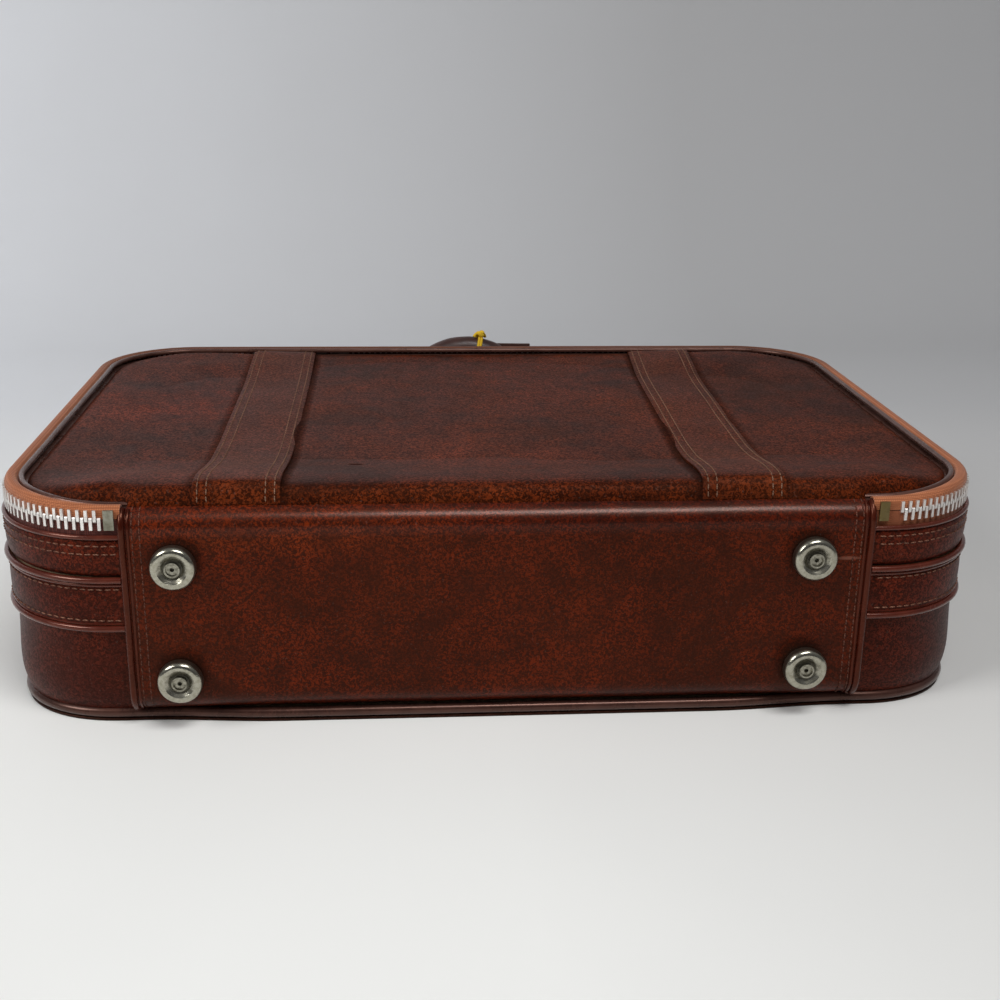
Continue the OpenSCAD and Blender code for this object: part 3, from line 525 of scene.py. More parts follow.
def lid_marks(tree, colour):
    """A rusty zone on the left of the lid, painted shade in a small dent, and painted shadow along the
    straps' edges.
    """
    where = axes(tree)
    zone = near_to(tree, where, -165 * mm, 22 * mm, 0, (75 * mm, 48 * mm, 0))
    warm = tint(tree, zone, colour, (2.0, 1.55, 1.2), "MULTIPLY", 0.6)
    # Painted shade of a small dent in the lid.
    dimple = near_to(tree, where, -67 * mm, -97 * mm, 0, (4.5 * mm, 3 * mm, 0))
    grime_and_painted_shade = sums(tree, "MULTIPLY", dimple, 0.75)
    # Painted shadow along the straps' edges, strongest along the edges that face the middle of the lid.
    for node, side in (("lid_strap_left", -1), ("lid_strap_right", 1)):
        lo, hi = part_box(node)
        splay = side * (hi.x - lo.x - STRAP_W)
        inner_x = hi.x if side < 0 else lo.x
        slope = splay / (hi.y - lo.y)
        from_edge = sums(tree, "SUBTRACT", sums(tree, "SUBTRACT", where["X"], inner_x - slope * lo.y),
                         sums(tree, "MULTIPLY", where["Y"], slope))
        for offset, amount in ((0.0, 0.75), (side * STRAP_W, 0.4)):
            away = sums(tree, "ABSOLUTE", sums(tree, "SUBTRACT", from_edge, offset), 0.0)
            grime_and_painted_shade = sums(tree, "MAXIMUM", grime_and_painted_shade, remap(tree, away, 0.3 * mm, 4.5 * mm, amount, 0.0))
    return tint(tree, grime_and_painted_shade, warm, PAINTED_SHADE), grime_and_painted_shade, None


def vinyl(name, dark, rust, light, rough=0.42, specular=0.25, grain=0.10 * mm, marked=None):
    """Marbled vinyl: dark maroon with rusty blotches, a fibrous print and pale rubbed places."""
    made, tree, bsdf = material(name, specular=specular)
    bsdf.inputs["Specular Tint"].default_value = SHEEN_TINT
    marks = use(tree, MARBLING, cloud_size=50 * mm, blotch_size=6 * mm)
    wear = use(tree, WEAR, rub_size=30 * mm)
    ground = tint(tree, marks["Cloud"], dark, rust)
    flecks = sums(tree, "MULTIPLY", marks["Fibre"], marks["Cloud"])
    flecked = tint(tree, flecks, ground, shade(rust, 1.5), amount=0.4)
    printed = tint(tree, remap(tree, marks["Fibre"], 0, 1, 0.92, 0.0), flecked, shade(dark, 0.25))
    if marked:
        printed, dull, polish = marked(tree, printed)
    rubbed = tint(tree, wear["Rub"], printed, light, amount=0.12)
    dusty = tint(tree, wear["Dust"], rubbed, DUST, amount=0.06)
    shine = sums(tree, "ADD", remap(tree, marks["Fibre"], 0, 1, rough + 0.06, rough - 0.04),
                 sums(tree, "MULTIPLY", wear["Rub"], 0.06))
    if marked:
        shine = sums(tree, "ADD", shine, sums(tree, "MULTIPLY", dull, 0.6))
        if polish is not None:
            tree.links.new(polish, bsdf.inputs["Coat Weight"])
    finish_with(tree, bsdf, dusty, shine, marks["Grain"], grain, 0.4)
    return made


def piping(name, dark, light, rough=0.17, coat=0.35):
    """Smooth plastic bead, brighter where it is rubbed, with lengthwise wrinkles."""
    made, tree, bsdf = material(name, specular=0.5, coat=coat)
    bsdf.inputs["Specular Tint"].default_value = SHEEN_TINT
    wear = use(tree, WEAR, rub_size=14 * mm)
    streak = speckle(tree, object_place(tree, 0.9), 5 * mm, 4.0, 0.65)
    colour = tint(tree, remap(tree, streak, 0.35, 0.7), dark, light)
    rubbed = tint(tree, wear["Rub"], colour, tuple(c * 2 + 0.01 for c in light), amount=0.2)
    shine = remap(tree, wear["Rub"], 0, 1, rough, rough + 0.22)
    finish_with(tree, bsdf, rubbed, shine, streak, 0.12 * mm, 0.25)
    return made


def turn_to(tree, colour, axis, start, end, amount, other):
    """Turns a colour to an amount of another one, between two places along an axis."""
    return tint(tree, remap(tree, axes(tree)[axis], start, end, 0.0, amount), colour, other)


def cloth(name, dark, light, yarn=0.6 * mm, rough=0.85, depth=0.15 * mm, turning=None):
    """Woven cloth with uneven threads and a little soiling."""
    made, tree, bsdf = material(name, roughness=rough, specular=0.2)
    threads = use(tree, WEAVE, thread_size=yarn)
    wear = use(tree, WEAR, rub_size=40 * mm)
    colour = tint(tree, threads["Thread"], dark, light, amount=0.8)
    mixed = tint(tree, remap(tree, threads["Uneven"], 0.35, 0.7, 0.0, 0.35), colour, dark)
    soiled = tint(tree, wear["Rub"], mixed, shade(dark, 0.6), amount=0.25)
    if turning:
        soiled = turn_to(tree, soiled, *turning)
    finish_with(tree, bsdf, soiled, None, threads["Thread"], depth, 0.6)
    bsdf.inputs["Sheen Weight"].default_value = 0.15
    return made


def metal(name, bright, tarnish, rough=0.24, turning=None):
    """Aged plating with tarnish, scratches and grime."""
    made, tree, bsdf = material(name, metallic=1.0)
    wear = use(tree, WEAR, rub_size=5 * mm)
    grime_and_painted_shade = speckle(tree, object_place(tree, 0.2), 1.6 * mm, 4.0, 0.7)
    plated = tint(tree, remap(tree, grime_and_painted_shade, 0.40, 0.68, 0.0, 0.7), bright, tarnish)
    if turning:
        plated = turn_to(tree, plated, *turning)
    spotted = tint(tree, wear["Rub"], plated, shade(tarnish, 0.55), amount=0.45)
    shine = sums(tree, "ADD", remap(tree, grime_and_painted_shade, 0.35, 0.7, rough, rough + 0.2),
                 sums(tree, "MULTIPLY", wear["Scratch"], 0.2))
    height = sums(tree, "SUBTRACT", grime_and_painted_shade, wear["Scratch"])
    finish_with(tree, bsdf, spotted, shine, height, 0.05 * mm, 0.35)
    return made


def foot_metal(name, bright, tarnish, dirt_and_shade):
    """Aged plating of the feet: bright on the rolled rim, with painted shade in the rivet's cup, the
    groove, the dish and round the outer edge; tarnish spots mottle the dish's shade.
    """
    made, tree, bsdf = material(name, metallic=1.0)
    wear = use(tree, WEAR, rub_size=4 * mm)
    radius = use(tree, FOOT_DISTANCE)["Distance"]
    spots = speckle(tree, object_place(tree, 0.2), 0.8 * mm, 4.0, 0.7)
    # Painted shade in the hollows: the rivet's cup, the groove round it, the dish and the outer edge where
    # the foot meets the panel.
    cup = remap(tree, radius, 1.6 * mm, 2.7 * mm, 0.25, 0.0)
    from_groove = sums(tree, "ABSOLUTE", sums(tree, "SUBTRACT", radius, 3.95 * mm), 0.0)
    groove = remap(tree, from_groove, 0.3 * mm, 0.85 * mm, 0.8, 0.0)
    dish = sums(tree, "MULTIPLY", remap(tree, radius, 5.6 * mm, 7.2 * mm, 0.34, 0.06),
                remap(tree, spots, 0.35, 0.65, 0.4, 1.6))
    base = remap(tree, radius, 9.3 * mm, 10.0 * mm, 0.0, 0.55)
    grime_and_painted_shade = sums(tree, "MAXIMUM", sums(tree, "MAXIMUM", cup, groove), sums(tree, "MAXIMUM", dish, base))
    aged = tint(tree, remap(tree, spots, 0.42, 0.7, 0.0, 0.6), bright, tarnish)
    darkened = tint(tree, grime_and_painted_shade, aged, dirt_and_shade)
    shine = remap(tree, grime_and_painted_shade, 0.0, 0.8, 0.17, 0.5)
    finish_with(tree, bsdf, darkened, shine, sums(tree, "SUBTRACT", spots, wear["Scratch"]), 0.06 * mm, 0.35)
    return made


def board(name, dark, light):
    """Raw fibreboard with flecks and pressed fibres."""
    made, tree, bsdf = material(name, roughness=0.9, specular=0.2)
    where = object_place(tree, 0.5)
    fibres = speckle(tree, where, 1.4 * mm, 5.0, 0.7)
    fleck = speckle(tree, where, 6 * mm, 2.0)
    colour = tint(tree, remap(tree, fibres, 0.35, 0.65), dark, light)
    flecked = tint(tree, remap(tree, fleck, 0.62, 0.75, 0.0, 0.4), colour, shade(dark, 0.4))
    finish_with(tree, bsdf, flecked, None, fibres, 0.2 * mm, 0.5)
    return made


def leather(name, dark, light, rough=0.42):
    """Grained leather with worn high spots."""
    made, tree, bsdf = material(name, specular=0.5)
    marks = use(tree, MARBLING, cloud_size=12 * mm, blotch_size=3 * mm)
    wear = use(tree, WEAR, rub_size=9 * mm)
    colour = tint(tree, marks["Cloud"], dark, light, amount=0.6)
    worn = tint(tree, wear["Rub"], colour, shade(light, 2), amount=0.3)
    shine = remap(tree, marks["Fibre"], 0, 1, rough - 0.06, rough + 0.1)
    finish_with(tree, bsdf, worn, shine, marks["Grain"], 0.12 * mm, 0.5)
    return made


def thread(name, dark, light):
    """Twisted sewing thread."""
    made, tree, bsdf = material(name, roughness=0.75, specular=0.25)
    where = object_place(tree, 0.1)
    wave = {"Vector": where, "Scale": 420.0, "Distortion": 1.5}
    ply = put(tree, "TexWave", wave, bands_direction="DIAGONAL").outputs["Fac"]
    soil = speckle(tree, where, 9 * mm, 3.0)
    colour = tint(tree, ply, dark, light)
    soiled = tint(tree, remap(tree, soil, 0.4, 0.7, 0.0, 0.6), colour, shade(dark, 0.5))
    finish_with(tree, bsdf, soiled, None, ply, 0.06 * mm, 0.5)
    return made


# Finishes, in linear colour
LID_VINYL = vinyl("lid_vinyl", (0.043, 0.0078, 0.0026), (0.149, 0.0225, 0.0042), (0.11, 0.035, 0.012),
                  rough=0.50, specular=0.12, grain=0.17 * mm, marked=lid_marks)
STRAP_VINYL = vinyl("strap_vinyl", (0.076, 0.0142, 0.0048), (0.146, 0.0255, 0.0060), (0.15, 0.055, 0.020),
                    rough=0.46, specular=0.10, grain=0.15 * mm)
WALL_VINYL = vinyl("wall_vinyl", (0.052, 0.0072, 0.0046), (0.116, 0.0145, 0.0052), (0.12, 0.035, 0.02),
                   specular=0.2)
PANEL_VINYL = vinyl("hinge_panel_vinyl", (0.039, 0.0038, 0.0009), (0.116, 0.0105, 0.0011),
                    (0.12, 0.025, 0.008), rough=0.32, specular=0.32, grain=0.18 * mm, marked=panel_marks)
BEAD = piping("belt_bead", (0.052, 0.0080, 0.0042), (0.095, 0.0165, 0.0080))
END_BEAD = piping("hinge_bead", (0.027, 0.0030, 0.0014), (0.054, 0.0068, 0.0028), 0.24, 0.03)
# The back's vinyl is near black, painted as the shade under the case where it stands on the floor.
BACK_VINYL = vinyl("back_vinyl", (0.012, 0.004, 0.003), (0.026, 0.008, 0.005), (0.05, 0.02, 0.012))
LID_BEAD = piping("lid_bead", (0.042, 0.017, 0.0125), (0.085, 0.040, 0.031), 0.26)
BACK_BEAD = piping("back_bead", (0.024, 0.010, 0.008), (0.050, 0.020, 0.015), 0.26)
# The tan tape turns dark brown towards the far side.
TAN_TAPE = cloth("tan_zip_tape", (0.26, 0.078, 0.028), (0.54, 0.190, 0.080), 0.5 * mm, 0.7,
                 turning=("Y", 70 * mm, 150 * mm, 0.8, (0.060, 0.017, 0.009)))
DARK_TAPE = cloth("dark_zip_tape", (0.060, 0.015, 0.012), (0.19, 0.048, 0.034), 0.5 * mm, 0.7,
                  turning=("X", 60 * mm, 165 * mm, 0.8, (0.24, 0.070, 0.024)))
LINING = cloth("lining_cloth", (0.30, 0.22, 0.14), (0.50, 0.40, 0.27), 0.45 * mm)
WEBBING = cloth("webbing", (0.05, 0.022, 0.014), (0.14, 0.07, 0.045), 1.1 * mm, 0.8, 0.3 * mm)
NICKEL = metal("aged_nickel", (0.62, 0.60, 0.54), (0.34, 0.31, 0.24))
# The feet's third colour is the painted shade in their hollows.
FOOT_NICKEL = foot_metal("foot_nickel", (0.46, 0.44, 0.36), (0.25, 0.23, 0.16), (0.020, 0.016, 0.010))
ZIP_METAL = metal("zip_metal", (0.98, 0.95, 0.92), (0.74, 0.68, 0.64), 0.34)
STOP_METAL = metal("stop_metal", (0.34, 0.33, 0.27), (0.20, 0.18, 0.12), 0.32,
                   turning=("X", -50 * mm, 50 * mm, 0.85, (0.17, 0.115, 0.028)))
FIBREBOARD = board("fibreboard", (0.20, 0.13, 0.075), (0.38, 0.27, 0.17))
GRIP_LEATHER = leather("grip_leather", (0.026, 0.0075, 0.005), (0.060, 0.016, 0.010))
TAG_LEATHER = leather("tag_leather", (0.032, 0.009, 0.006), (0.065, 0.019, 0.012))
TAN_THREAD = thread("tan_thread", (0.11, 0.040, 0.022), (0.29, 0.135, 0.082))
DARK_THREAD = thread("dark_thread", (0.070, 0.020, 0.011), (0.185, 0.070, 0.042))
PALE_THREAD = thread("pale_thread", (0.14, 0.066, 0.038), (0.31, 0.17, 0.105))
YELLOW_CORD = thread("yellow_cord", (0.62, 0.36, 0.01), (0.90, 0.62, 0.04))


def dress(piece, finish, slot, body, *nodes):
    """Gives a piece its finish, its body and the nodes that it stands for; its record slot is not used."""
    piece.data.materials.clear()
    piece.data.materials.append(finish)
    if body:
        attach(piece, body)
    if nodes:
        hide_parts(*nodes)
    return piece


# Walls, from the back up

def outline_face(name, out, z):
    """Adds a flat face with the case's outline, moved out by a distance, and stays in edit mode."""
    deselect()
    wire([(0, NEAR_Y - out, z)] * 3)
    piece = begin(name)
    bpy.ops.mesh.select_all(action="SELECT")
    bpy.ops.mesh.merge(type="CENTER")
    go_round(0)
    bpy.ops.mesh.select_all(action="SELECT")
    bpy.ops.mesh.remove_doubles(threshold=WELD)
    bpy.ops.mesh.edge_face_add()
    return piece


def flat_plate(name, out, z0, z1):
    """A plate with the case's outline, its edges rolled."""
    outline_face(name, out, z0)
    bpy.ops.mesh.extrude_region_move(TRANSFORM_OT_translate={"value": (0, 0, z1 - z0)})
    return modifier(close_up(), "BEVEL", width=0.35 * (z1 - z0), segments=2, limit_method="ANGLE")


def spread(co):
    """Pushes the lower walls out a little away from the hinge side, where they hang fuller."""
    low = fade((48 * mm - co.z) / (42 * mm))
    away = fade((math.hypot(abs(co.x) - HINGE_HALF, co.y - NEAR_Y) - 6 * mm) / (60 * mm))
    centre = Vector((min(max(co.x, -CORNER_X), CORNER_X), min(max(co.y, -CORNER_Y), CORNER_Y), co.z))
    return co + (co - centre).normalized() * WALL_FULLNESS * low * away


def back_skin():
    """The vinyl on the back that the case lies on, near black as painted shade under the case."""
    lo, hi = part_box("back_cover")
    piece = flat_plate("back_skin", hi.x - HALF_W, lo.z, hi.z)
    shape(piece, spread)
    return dress(smooth(piece), BACK_VINYL, "vinyl", "case", "back_cover")


def node_bead(node, sides):
    """The round profile of a piping node, as large as its box is high."""
    lo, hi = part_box(node)
    radius = (hi.z - lo.z) / 2
    return bead(hi.x - HALF_W - radius, lo.z + radius, radius, sides)


def back_bead():
    """The welt round the back."""
    piece = sweep("back_bead", [node_bead("back_welt", 16)], 0)
    shape(piece, spread)
    return dress(piece, BACK_BEAD, "piping", "case", "back_welt")


def side_skin():
    """The lower wall, drawn in towards the back."""
    lo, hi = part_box("side_cover")
    top_in, bottom_in, lean = 2.3 * mm, 8.0 * mm, 0.45
    outer = [(-bottom_in - 1.6 * mm, lo.z + 0.5 * mm)]
    steps = 14
    for step in range(steps + 1):
        t = 1 - step / steps
        lean_in = top_in + (bottom_in - top_in) * (lean * t + (1 - lean) * t ** 5)
        outer.append((-lean_in, hi.z - (hi.z - lo.z) * t))
    outer.append((-top_in - 1.0 * mm, hi.z + 0.3 * mm))
    piece = sweep("side_skin", [skin(outer, 1.5 * mm)])
    shape(piece, spread)
    uneven(piece, 0.35 * mm, 45 * mm, 1)
    return dress(piece, WALL_VINYL, "vinyl", "case", "side_cover")


def belt_band():
    """The padded band between the two belt pipings."""
    lo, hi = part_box("belt_band")
    height = hi.z - lo.z
    outer = [(-1.7, 0.0), (-0.95, 0.02), (-0.62, 0.07), (-0.45, 0.2), (-0.28, 0.38), (-0.24, 0.5),
             (-0.28, 0.62), (-0.45, 0.8), (-0.62, 0.93), (-0.95, 0.98), (-1.7, 1.0)]
    line = [(out * mm, lo.z + height * share) for out, share in outer]
    piece = sweep("belt_band_skin", [skin(line, 0.9 * mm)])
    uneven(piece, 0.2 * mm, 30 * mm, 2)
    return dress(piece, WALL_VINYL, "vinyl", "case", "belt_band")


def zip_band():
    """The band under the zip, with its top edge turned in."""
    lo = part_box("zip_band")[0]
    outer = [(-3.4, -1.3), (-1.8, -0.3), (-1.15, 0.3), (-0.7, 1.6), (-0.3, 3.6), (-0.05, 6.5), (0.05, 10.0),
             (0.0, 13.5), (-0.12, 15.6), (-0.5, 16.4), (-1.2, 16.6)]
    line = [(out * mm, lo.z + up * mm) for out, up in outer]
    piece = sweep("zip_band_skin", [skin(line, 0.8 * mm)])
    uneven(piece, 0.18 * mm, 26 * mm, 3)
    return dress(piece, WALL_VINYL, "vinyl", "case", "zip_band")


def belt_beads():
    """The two belt pipings, each a bead with its sewn flange beside it."""
    low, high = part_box("belt_piping_lower"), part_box("belt_piping_upper")
    radius = (low[1].z - low[0].z) / 2
    low_z, high_z = low[0].z + radius, high[1].z - radius
    slim = 0.86 * radius
    lower = sweep("belt_bead_lower", [bead(low[1].x - HALF_W - radius, low_z, slim),
                                      bead(-1.05 * mm, low_z + 2.25 * mm, 0.62 * mm, 8)], BEAD_GAP)
    upper = sweep("belt_bead_upper", [bead(high[1].x - HALF_W - radius, high_z, slim),
                                      bead(-0.75 * mm, high_z - 2.45 * mm, 0.85 * mm, 10)], BEAD_GAP)
    dress(lower, BEAD, "piping", "case", "belt_piping_lower")
    dress(upper, BEAD, "piping", "case", "belt_piping_upper")


def zip_bead():
    """The thin welt under the zip band's tape."""
    piece = sweep("zip_bead", [node_bead("zip_welt_lower", 10)])
    return dress(piece, BEAD, "piping", "case", "zip_welt_lower")


def zip_tapes():
    """The dark lower tape and the tan upper one, which rolls over the lid's rim."""
    lo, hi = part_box("zip_tape_lower")
    out = hi.x - HALF_W
    thick, tip_in, tip = 0.9 * mm, 0.2 * mm, 1.3 * mm
    line = [(out - 0.15 * mm, lo.z + 14 * mm), (out, lo.z + 16 * mm), (out, hi.z),
            (out - tip_in, hi.z + tip)]
    lower = sweep("zip_tape_lower_cloth", [skin(line, thick)])
    dress(lower, DARK_TAPE, "dark_tape", "case", "zip_tape_lower")
    lo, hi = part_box("zip_tape_upper")
    out, roll, rise = hi.x - HALF_W, 3.1 * mm, 3.4 * mm
    middle, base = out - roll + 0.1 * mm, hi.z + 0.5 * mm - rise
    arc = [math.pi * step / 14 for step in range(15)]
    line = [(out - tip_in, lo.z - tip), (out, lo.z), (out + 0.15 * mm, lo.z + 1.6 * mm)]
    line += [(middle + roll * math.cos(a), base + rise * math.sin(a)) for a in arc]
    inner = [(middle - (roll - thick) * math.cos(a), base + (rise - thick) * math.sin(a)) for a in arc]
    inner += [(out - thick, lo.z), (out - thick - tip_in, lo.z - tip)]
    upper = sweep("zip_tape_upper_cloth", [line + inner])
    shape(upper, rim_drop)
    dress(upper, TAN_TAPE, "tan_tape", "lid", "zip_tape_upper")


def rim_drop(co):
    """Lowers the rim towards the two ends of the zip, where it tucks under the hinge skin."""
    from_end = math.hypot(abs(co.x) - HINGE_HALF, co.y - NEAR_Y)
    lift = fade((co.z - ZIP_Z - 3.5 * mm) / (4 * mm))
    return co - Vector((0, 0, RIM_DIP * lift * (1 - fade(from_end / (60 * mm)))))


def lid_bead():
    """The welt round the lid, and its flange, which lies flat in the groove behind the rim."""
    radius = 1.4 * mm
    outer, inner, low = -6.4 * mm, -12 * mm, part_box("lid_pad")[0].z
    high = low + 0.6 * mm
    flange = [(outer, low), (inner, low), (inner, high), (outer, high)]
    profile = bead(-9.3 * mm, RIM_Z - 0.5 * mm - radius, radius)
    piece = sweep("lid_bead", [profile, flange], HINGE_HALF - 2 * mm)
    shape(piece, rim_drop)
    uneven(piece, 0.2 * mm, 22 * mm, 4)
    return dress(piece, LID_BEAD, "piping", "lid", "lid_welt")


# The hinge side

def hinge_line(share):
    """The hinge skin's line from the back's edge up over the hinge to the lid's seam, as (y, z)."""
    roll, tuck, top_r = 12 * mm, 8.2 * mm, 9.4 * mm
    roll_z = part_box("hinge_panel")[0].z + math.sqrt(roll ** 2 - (roll - tuck) ** 2)
    bend = math.acos(1 - tuck / roll)
    arc_top = math.acos(1 - (SEAM_Y - NEAR_Y) / top_r)
    top_z = SEAM_Z - top_r * math.sin(arc_top)
    lengths = (roll * bend, top_z - roll_z, top_r * arc_top)
    s = share * sum(lengths)
    if s < lengths[0]:
        a = bend - s / roll
        return NEAR_Y + roll * (1 - math.cos(a)), roll_z - roll * math.sin(a)
    if s < lengths[0] + lengths[1]:
        return NEAR_Y, roll_z + s - lengths[0]
    a = (s - lengths[0] - lengths[1]) / top_r
    return NEAR_Y + top_r * (1 - math.cos(a)), top_z + top_r * math.sin(a)


def hinge_frame(share, ahead):
    """A point of the hinge skin's line, the way along it and the way out of it."""
    y, z = hinge_line(share)
    y2, z2 = hinge_line(min(1, share + ahead))
    along = Vector((0, y2 - y, z2 - z)).normalized()
    return Vector((0, y, z)), along, Vector((0, -along.z, along.y))


def bend_at_hinge(piece):
    """Bakes a piece's transform into its mesh."""
    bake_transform(piece)
    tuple(BEND_START)
    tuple(BEND_END)
    return piece


def hinge_skin():
    """The vinyl of the hinge side, from the back's edge up over the hinge to the lid."""
    half = HINGE_HALF - 1.6 * mm

    def place(u, v):
        y, z = hinge_line(v)
        return Vector((half * (2 * u - 1), y, z))

    piece = grid("hinge_skin", 84, 46, place)
    uneven(piece, 0.3 * mm, 40 * mm, 5)
    outwards(piece)
    faces_far = sum(p.normal.y * p.area for p in piece.data.polygons) > 0
    thicken(piece, 1.3 * mm, 1 if faces_far else -1)
    return bend_at_hinge(dress(piece, PANEL_VINYL, "vinyl", None, "hinge_panel", "hinge_strip"))


def hinge_bead(name, side, *nodes):
    """The piping at one end of the hinge skin: a bead and the flat edge beside it."""
    radius, flat_r, flat_in = 1.6 * mm, 0.85 * mm, Vector((side * 2.75 * mm, 0, 0))
    steps, sides = 40, 12
    beads, flats = [], []
    for step in range(steps + 1):
        spot, _, out = hinge_frame(0.03 + 0.95 * step / steps, 0.01)
        middle = spot + Vector((side * HINGE_HALF, 0, 0))
        beads.append(ring(middle, Vector((1, 0, 0)), out, radius, sides))
        flats.append(ring(middle - flat_in - out * 0.1 * mm, Vector((1, 0, 0)), out, flat_r, sides))
    deselect()
    for loops in (beads, flats):
        loft(loops)
        bpy.ops.mesh.select_all(action="DESELECT")
    begin(name)
    return bend_at_hinge(dress(close_up(50), END_BEAD, "piping", None, *nodes))


# The lid's cushion

def inside(x, y, out):
    """How far a point lies inside the case's outline moved out by a distance."""
    over_x, over_y = abs(x) - CORNER_X, abs(y) - CORNER_Y
    if over_x > 0 and over_y > 0:
        return CORNER_R + out - math.hypot(over_x, over_y)
    return CORNER_R + out - max(over_x, over_y)


def lid_front(x):
    """The lid's near edge: out at the seam over the hinge, back behind the welt beside it."""
    beside = NEAR_Y - PANEL_O
    return beside + (SEAM_Y - beside) * over_hinge(x)


def over_hinge(x):
    """1 over the hinge skin, falling to 0 just beside it."""
    return fade((HINGE_HALF + 4 * mm - abs(x)) / (8 * mm))


def lid_height(x, y):
    """The height of the lid's cover: a padded ridge by the hinge, rolled edges and a sagging middle."""
    by_hinge = y < 0 and abs(x) < CORNER_X
    edge = y - lid_front(x) if by_hinge else inside(x, y, PANEL_O)
    base = PANEL_Z - GROOVE_DEPTH
    if by_hinge:
        base += (SEAM_Z - base) * over_hinge(x)
    from_front = y - (NEAR_Y - PANEL_O)
    near = math.exp(-(max(0, from_front - 4 * mm) / RIDGE_FALL) ** 2)
    crest = PANEL_Z + (RIDGE_Z - PANEL_Z) * near * (1 - 0.75 * fade((abs(x) - CORNER_X) / (44 * mm)))
    roll = EDGE_ROLL + (RIDGE_ROLL - EDGE_ROLL) * near
    t = 1 - min(1, max(0, edge / roll))
    z = base + (crest - base) * (1 - t ** ROLL_POWER) ** (1 / ROLL_POWER)
    z -= LID_SAG * fade(edge / (75 * mm)) * fade(from_front / (100 * mm))
    far = fade((y - 60 * mm) / (60 * mm))
    by_corner = math.exp(-((abs(x) - CORNER_X + 6 * mm) / (42 * mm)) ** 2)
    in_middle = math.exp(-(x / (95 * mm)) ** 2)
    z += far * FAR_BULGE * by_corner * fade(edge / (9 * mm))
    z -= far * FAR_DIP * in_middle * fade(edge / (5 * mm))
    wave = noise.noise(Vector((x, y, 0.3)) / (55 * mm)) + 0.4 * noise.noise(Vector((x, y, 4.0)) / (24 * mm))
    return z + 0.75 * mm * wave * fade(edge / (30 * mm))


def rounded(x, y, out):
    """Draws the square corners of a grid in to the case's rounded outline."""
    radius = CORNER_R + out
    over_x, over_y = (abs(x) - CORNER_X) / radius, (abs(y) - CORNER_Y) / radius
    if over_x <= 0 or over_y <= 0:
        return x, y
    new_x, new_y = over_x * math.sqrt(1 - over_y ** 2 / 2), over_y * math.sqrt(1 - over_x ** 2 / 2)
    return math.copysign(CORNER_X + new_x * radius, x), math.copysign(CORNER_Y + new_y * radius, y)


def lid_cushion():
    """The lid's padded cover, closed down to the lid board."""
    half_x, half_y = HALF_W + PANEL_O, HALF_L + PANEL_O
    pad_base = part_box("lid_pad")[0].z

    def place(u, v):
        x, y = rounded(half_x * (2 * u - 1), half_y * (2 * edge_rows(v) - 1), PANEL_O)
        if abs(x) < CORNER_X:
            reach = lid_front(x) + half_y
            y += reach * (1 - fade((y + half_y) / (25 * mm)))
        return Vector((x, y, lid_height(x, y)))

    piece = grid("lid_cushion", 132, 100, place)
    only(upwards(piece))
    bpy.ops.object.mode_set(mode="EDIT")
    pick_edges(lambda e: e.is_boundary)
    bpy.ops.mesh.extrude_region_move(TRANSFORM_OT_translate={"value": (0, 0, -mm)})
    mesh = bmesh.from_edit_mesh(piece.data)
    for vert in mesh.verts:
        if vert.select:
            vert.co.z = pad_base
    bmesh.update_edit_mesh(piece.data)
    close_up(60)
    dress(piece, LID_VINYL, "vinyl", "lid", "lid_cover", "lid_pad")
    return piece


def edge_rows(v):
    """Draws a grid's rows together at its near and far edges, where the cover rolls."""
    return v - 0.075 * math.sin(math.tau * v)


def strap_line(side, v):
    """The middle of a lid strap at a share of its length, as (x, y)."""
    lo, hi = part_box("lid_strap_right" if side > 0 else "lid_strap_left")
    start = hi.x - STRAP_W / 2 if side < 0 else lo.x + STRAP_W / 2
    splay = (hi.x - lo.x - STRAP_W) * side
    end_y = FAR_Y + PANEL_O + 0.6 * mm
    return start + splay * v, SEAM_Y + (end_y - SEAM_Y) * (v - 0.06 * math.sin(math.tau * v))


def strap_height(x, y, share):
    """The top of a strap at a share of its width: thin at its turned edges, a little proud between them."""
    edge = 1 - abs(2 * share - 1)
    thick = STRAP_T * (0.8 + 0.2 * fade(edge / 0.16)) + 0.25 * mm * fade(edge / 0.5)
    return lid_height(x, y) + thick * (0.25 + 0.75 * fade((y - SEAM_Y) / (5 * mm)))


def strap_point(side, share, v):
    """A point on top of a lid strap, at a share of its width and of its length."""
    x, y = strap_line(side, v)
    x += STRAP_W * (share - 0.5)
    return Vector((x, y, strap_height(x, y, share)))


def lid_strap(name, side, node):
    """A flat vinyl strap over the lid, from the seam at the hinge to the far rim."""
    piece = grid(name, 22, 110, lambda u, v: strap_point(side, u, v))
    thicken(upwards(piece), STRAP_T * 0.9, -1, 0.25 * mm)
    return dress(piece, STRAP_VINYL, "vinyl", "lid", node)


# Sewing

def stitch_model():
    """One stitch, modelled once: a short pull of thread, thin where it enters the cloth."""
    deselect()
    bpy.ops.mesh.primitive_uv_sphere_add(segments=6, ring_count=5, radius=0.5)
    piece = begin("stitch_model")
    shape(piece, lambda co: Vector((co.z * STITCH_L, co.x * THREAD_D, co.y * THREAD_D)))
    return piece


def sew(name, places, finish, body):
    """Copies the stitch to each (middle, along, out); a row with no body is attached to none."""
    base = np.array([v.co for v in STITCH.data.vertices])
    faces = [tuple(p.vertices) for p in STITCH.data.polygons]
    points, sides = [], []
    for number, (middle, along, out) in enumerate(places):
        tilt = 0.07 * math.sin(number * 2.4)
        along, out = along.normalized(), out.normalized()
        cross = out.cross(along)
        along = (along + cross * tilt).normalized()
        turned = np.array([along, out.cross(along), out])
        sides += [tuple(i + len(points) * len(base) for i in face) for face in faces]
        points.append(base @ turned + np.array(middle))
    mesh = bpy.data.meshes.new(name)
    mesh.from_pydata(np.concatenate(points).tolist(), [], sides)
    piece = bpy.data.objects.new(name, mesh)
    bpy.context.scene.collection.objects.link(piece)
    outwards(smooth(piece, 80))
    dress(piece, finish, "lining" if finish is PALE_THREAD else "tan_tape", body)
    return piece if body else bend_at_hinge(piece)


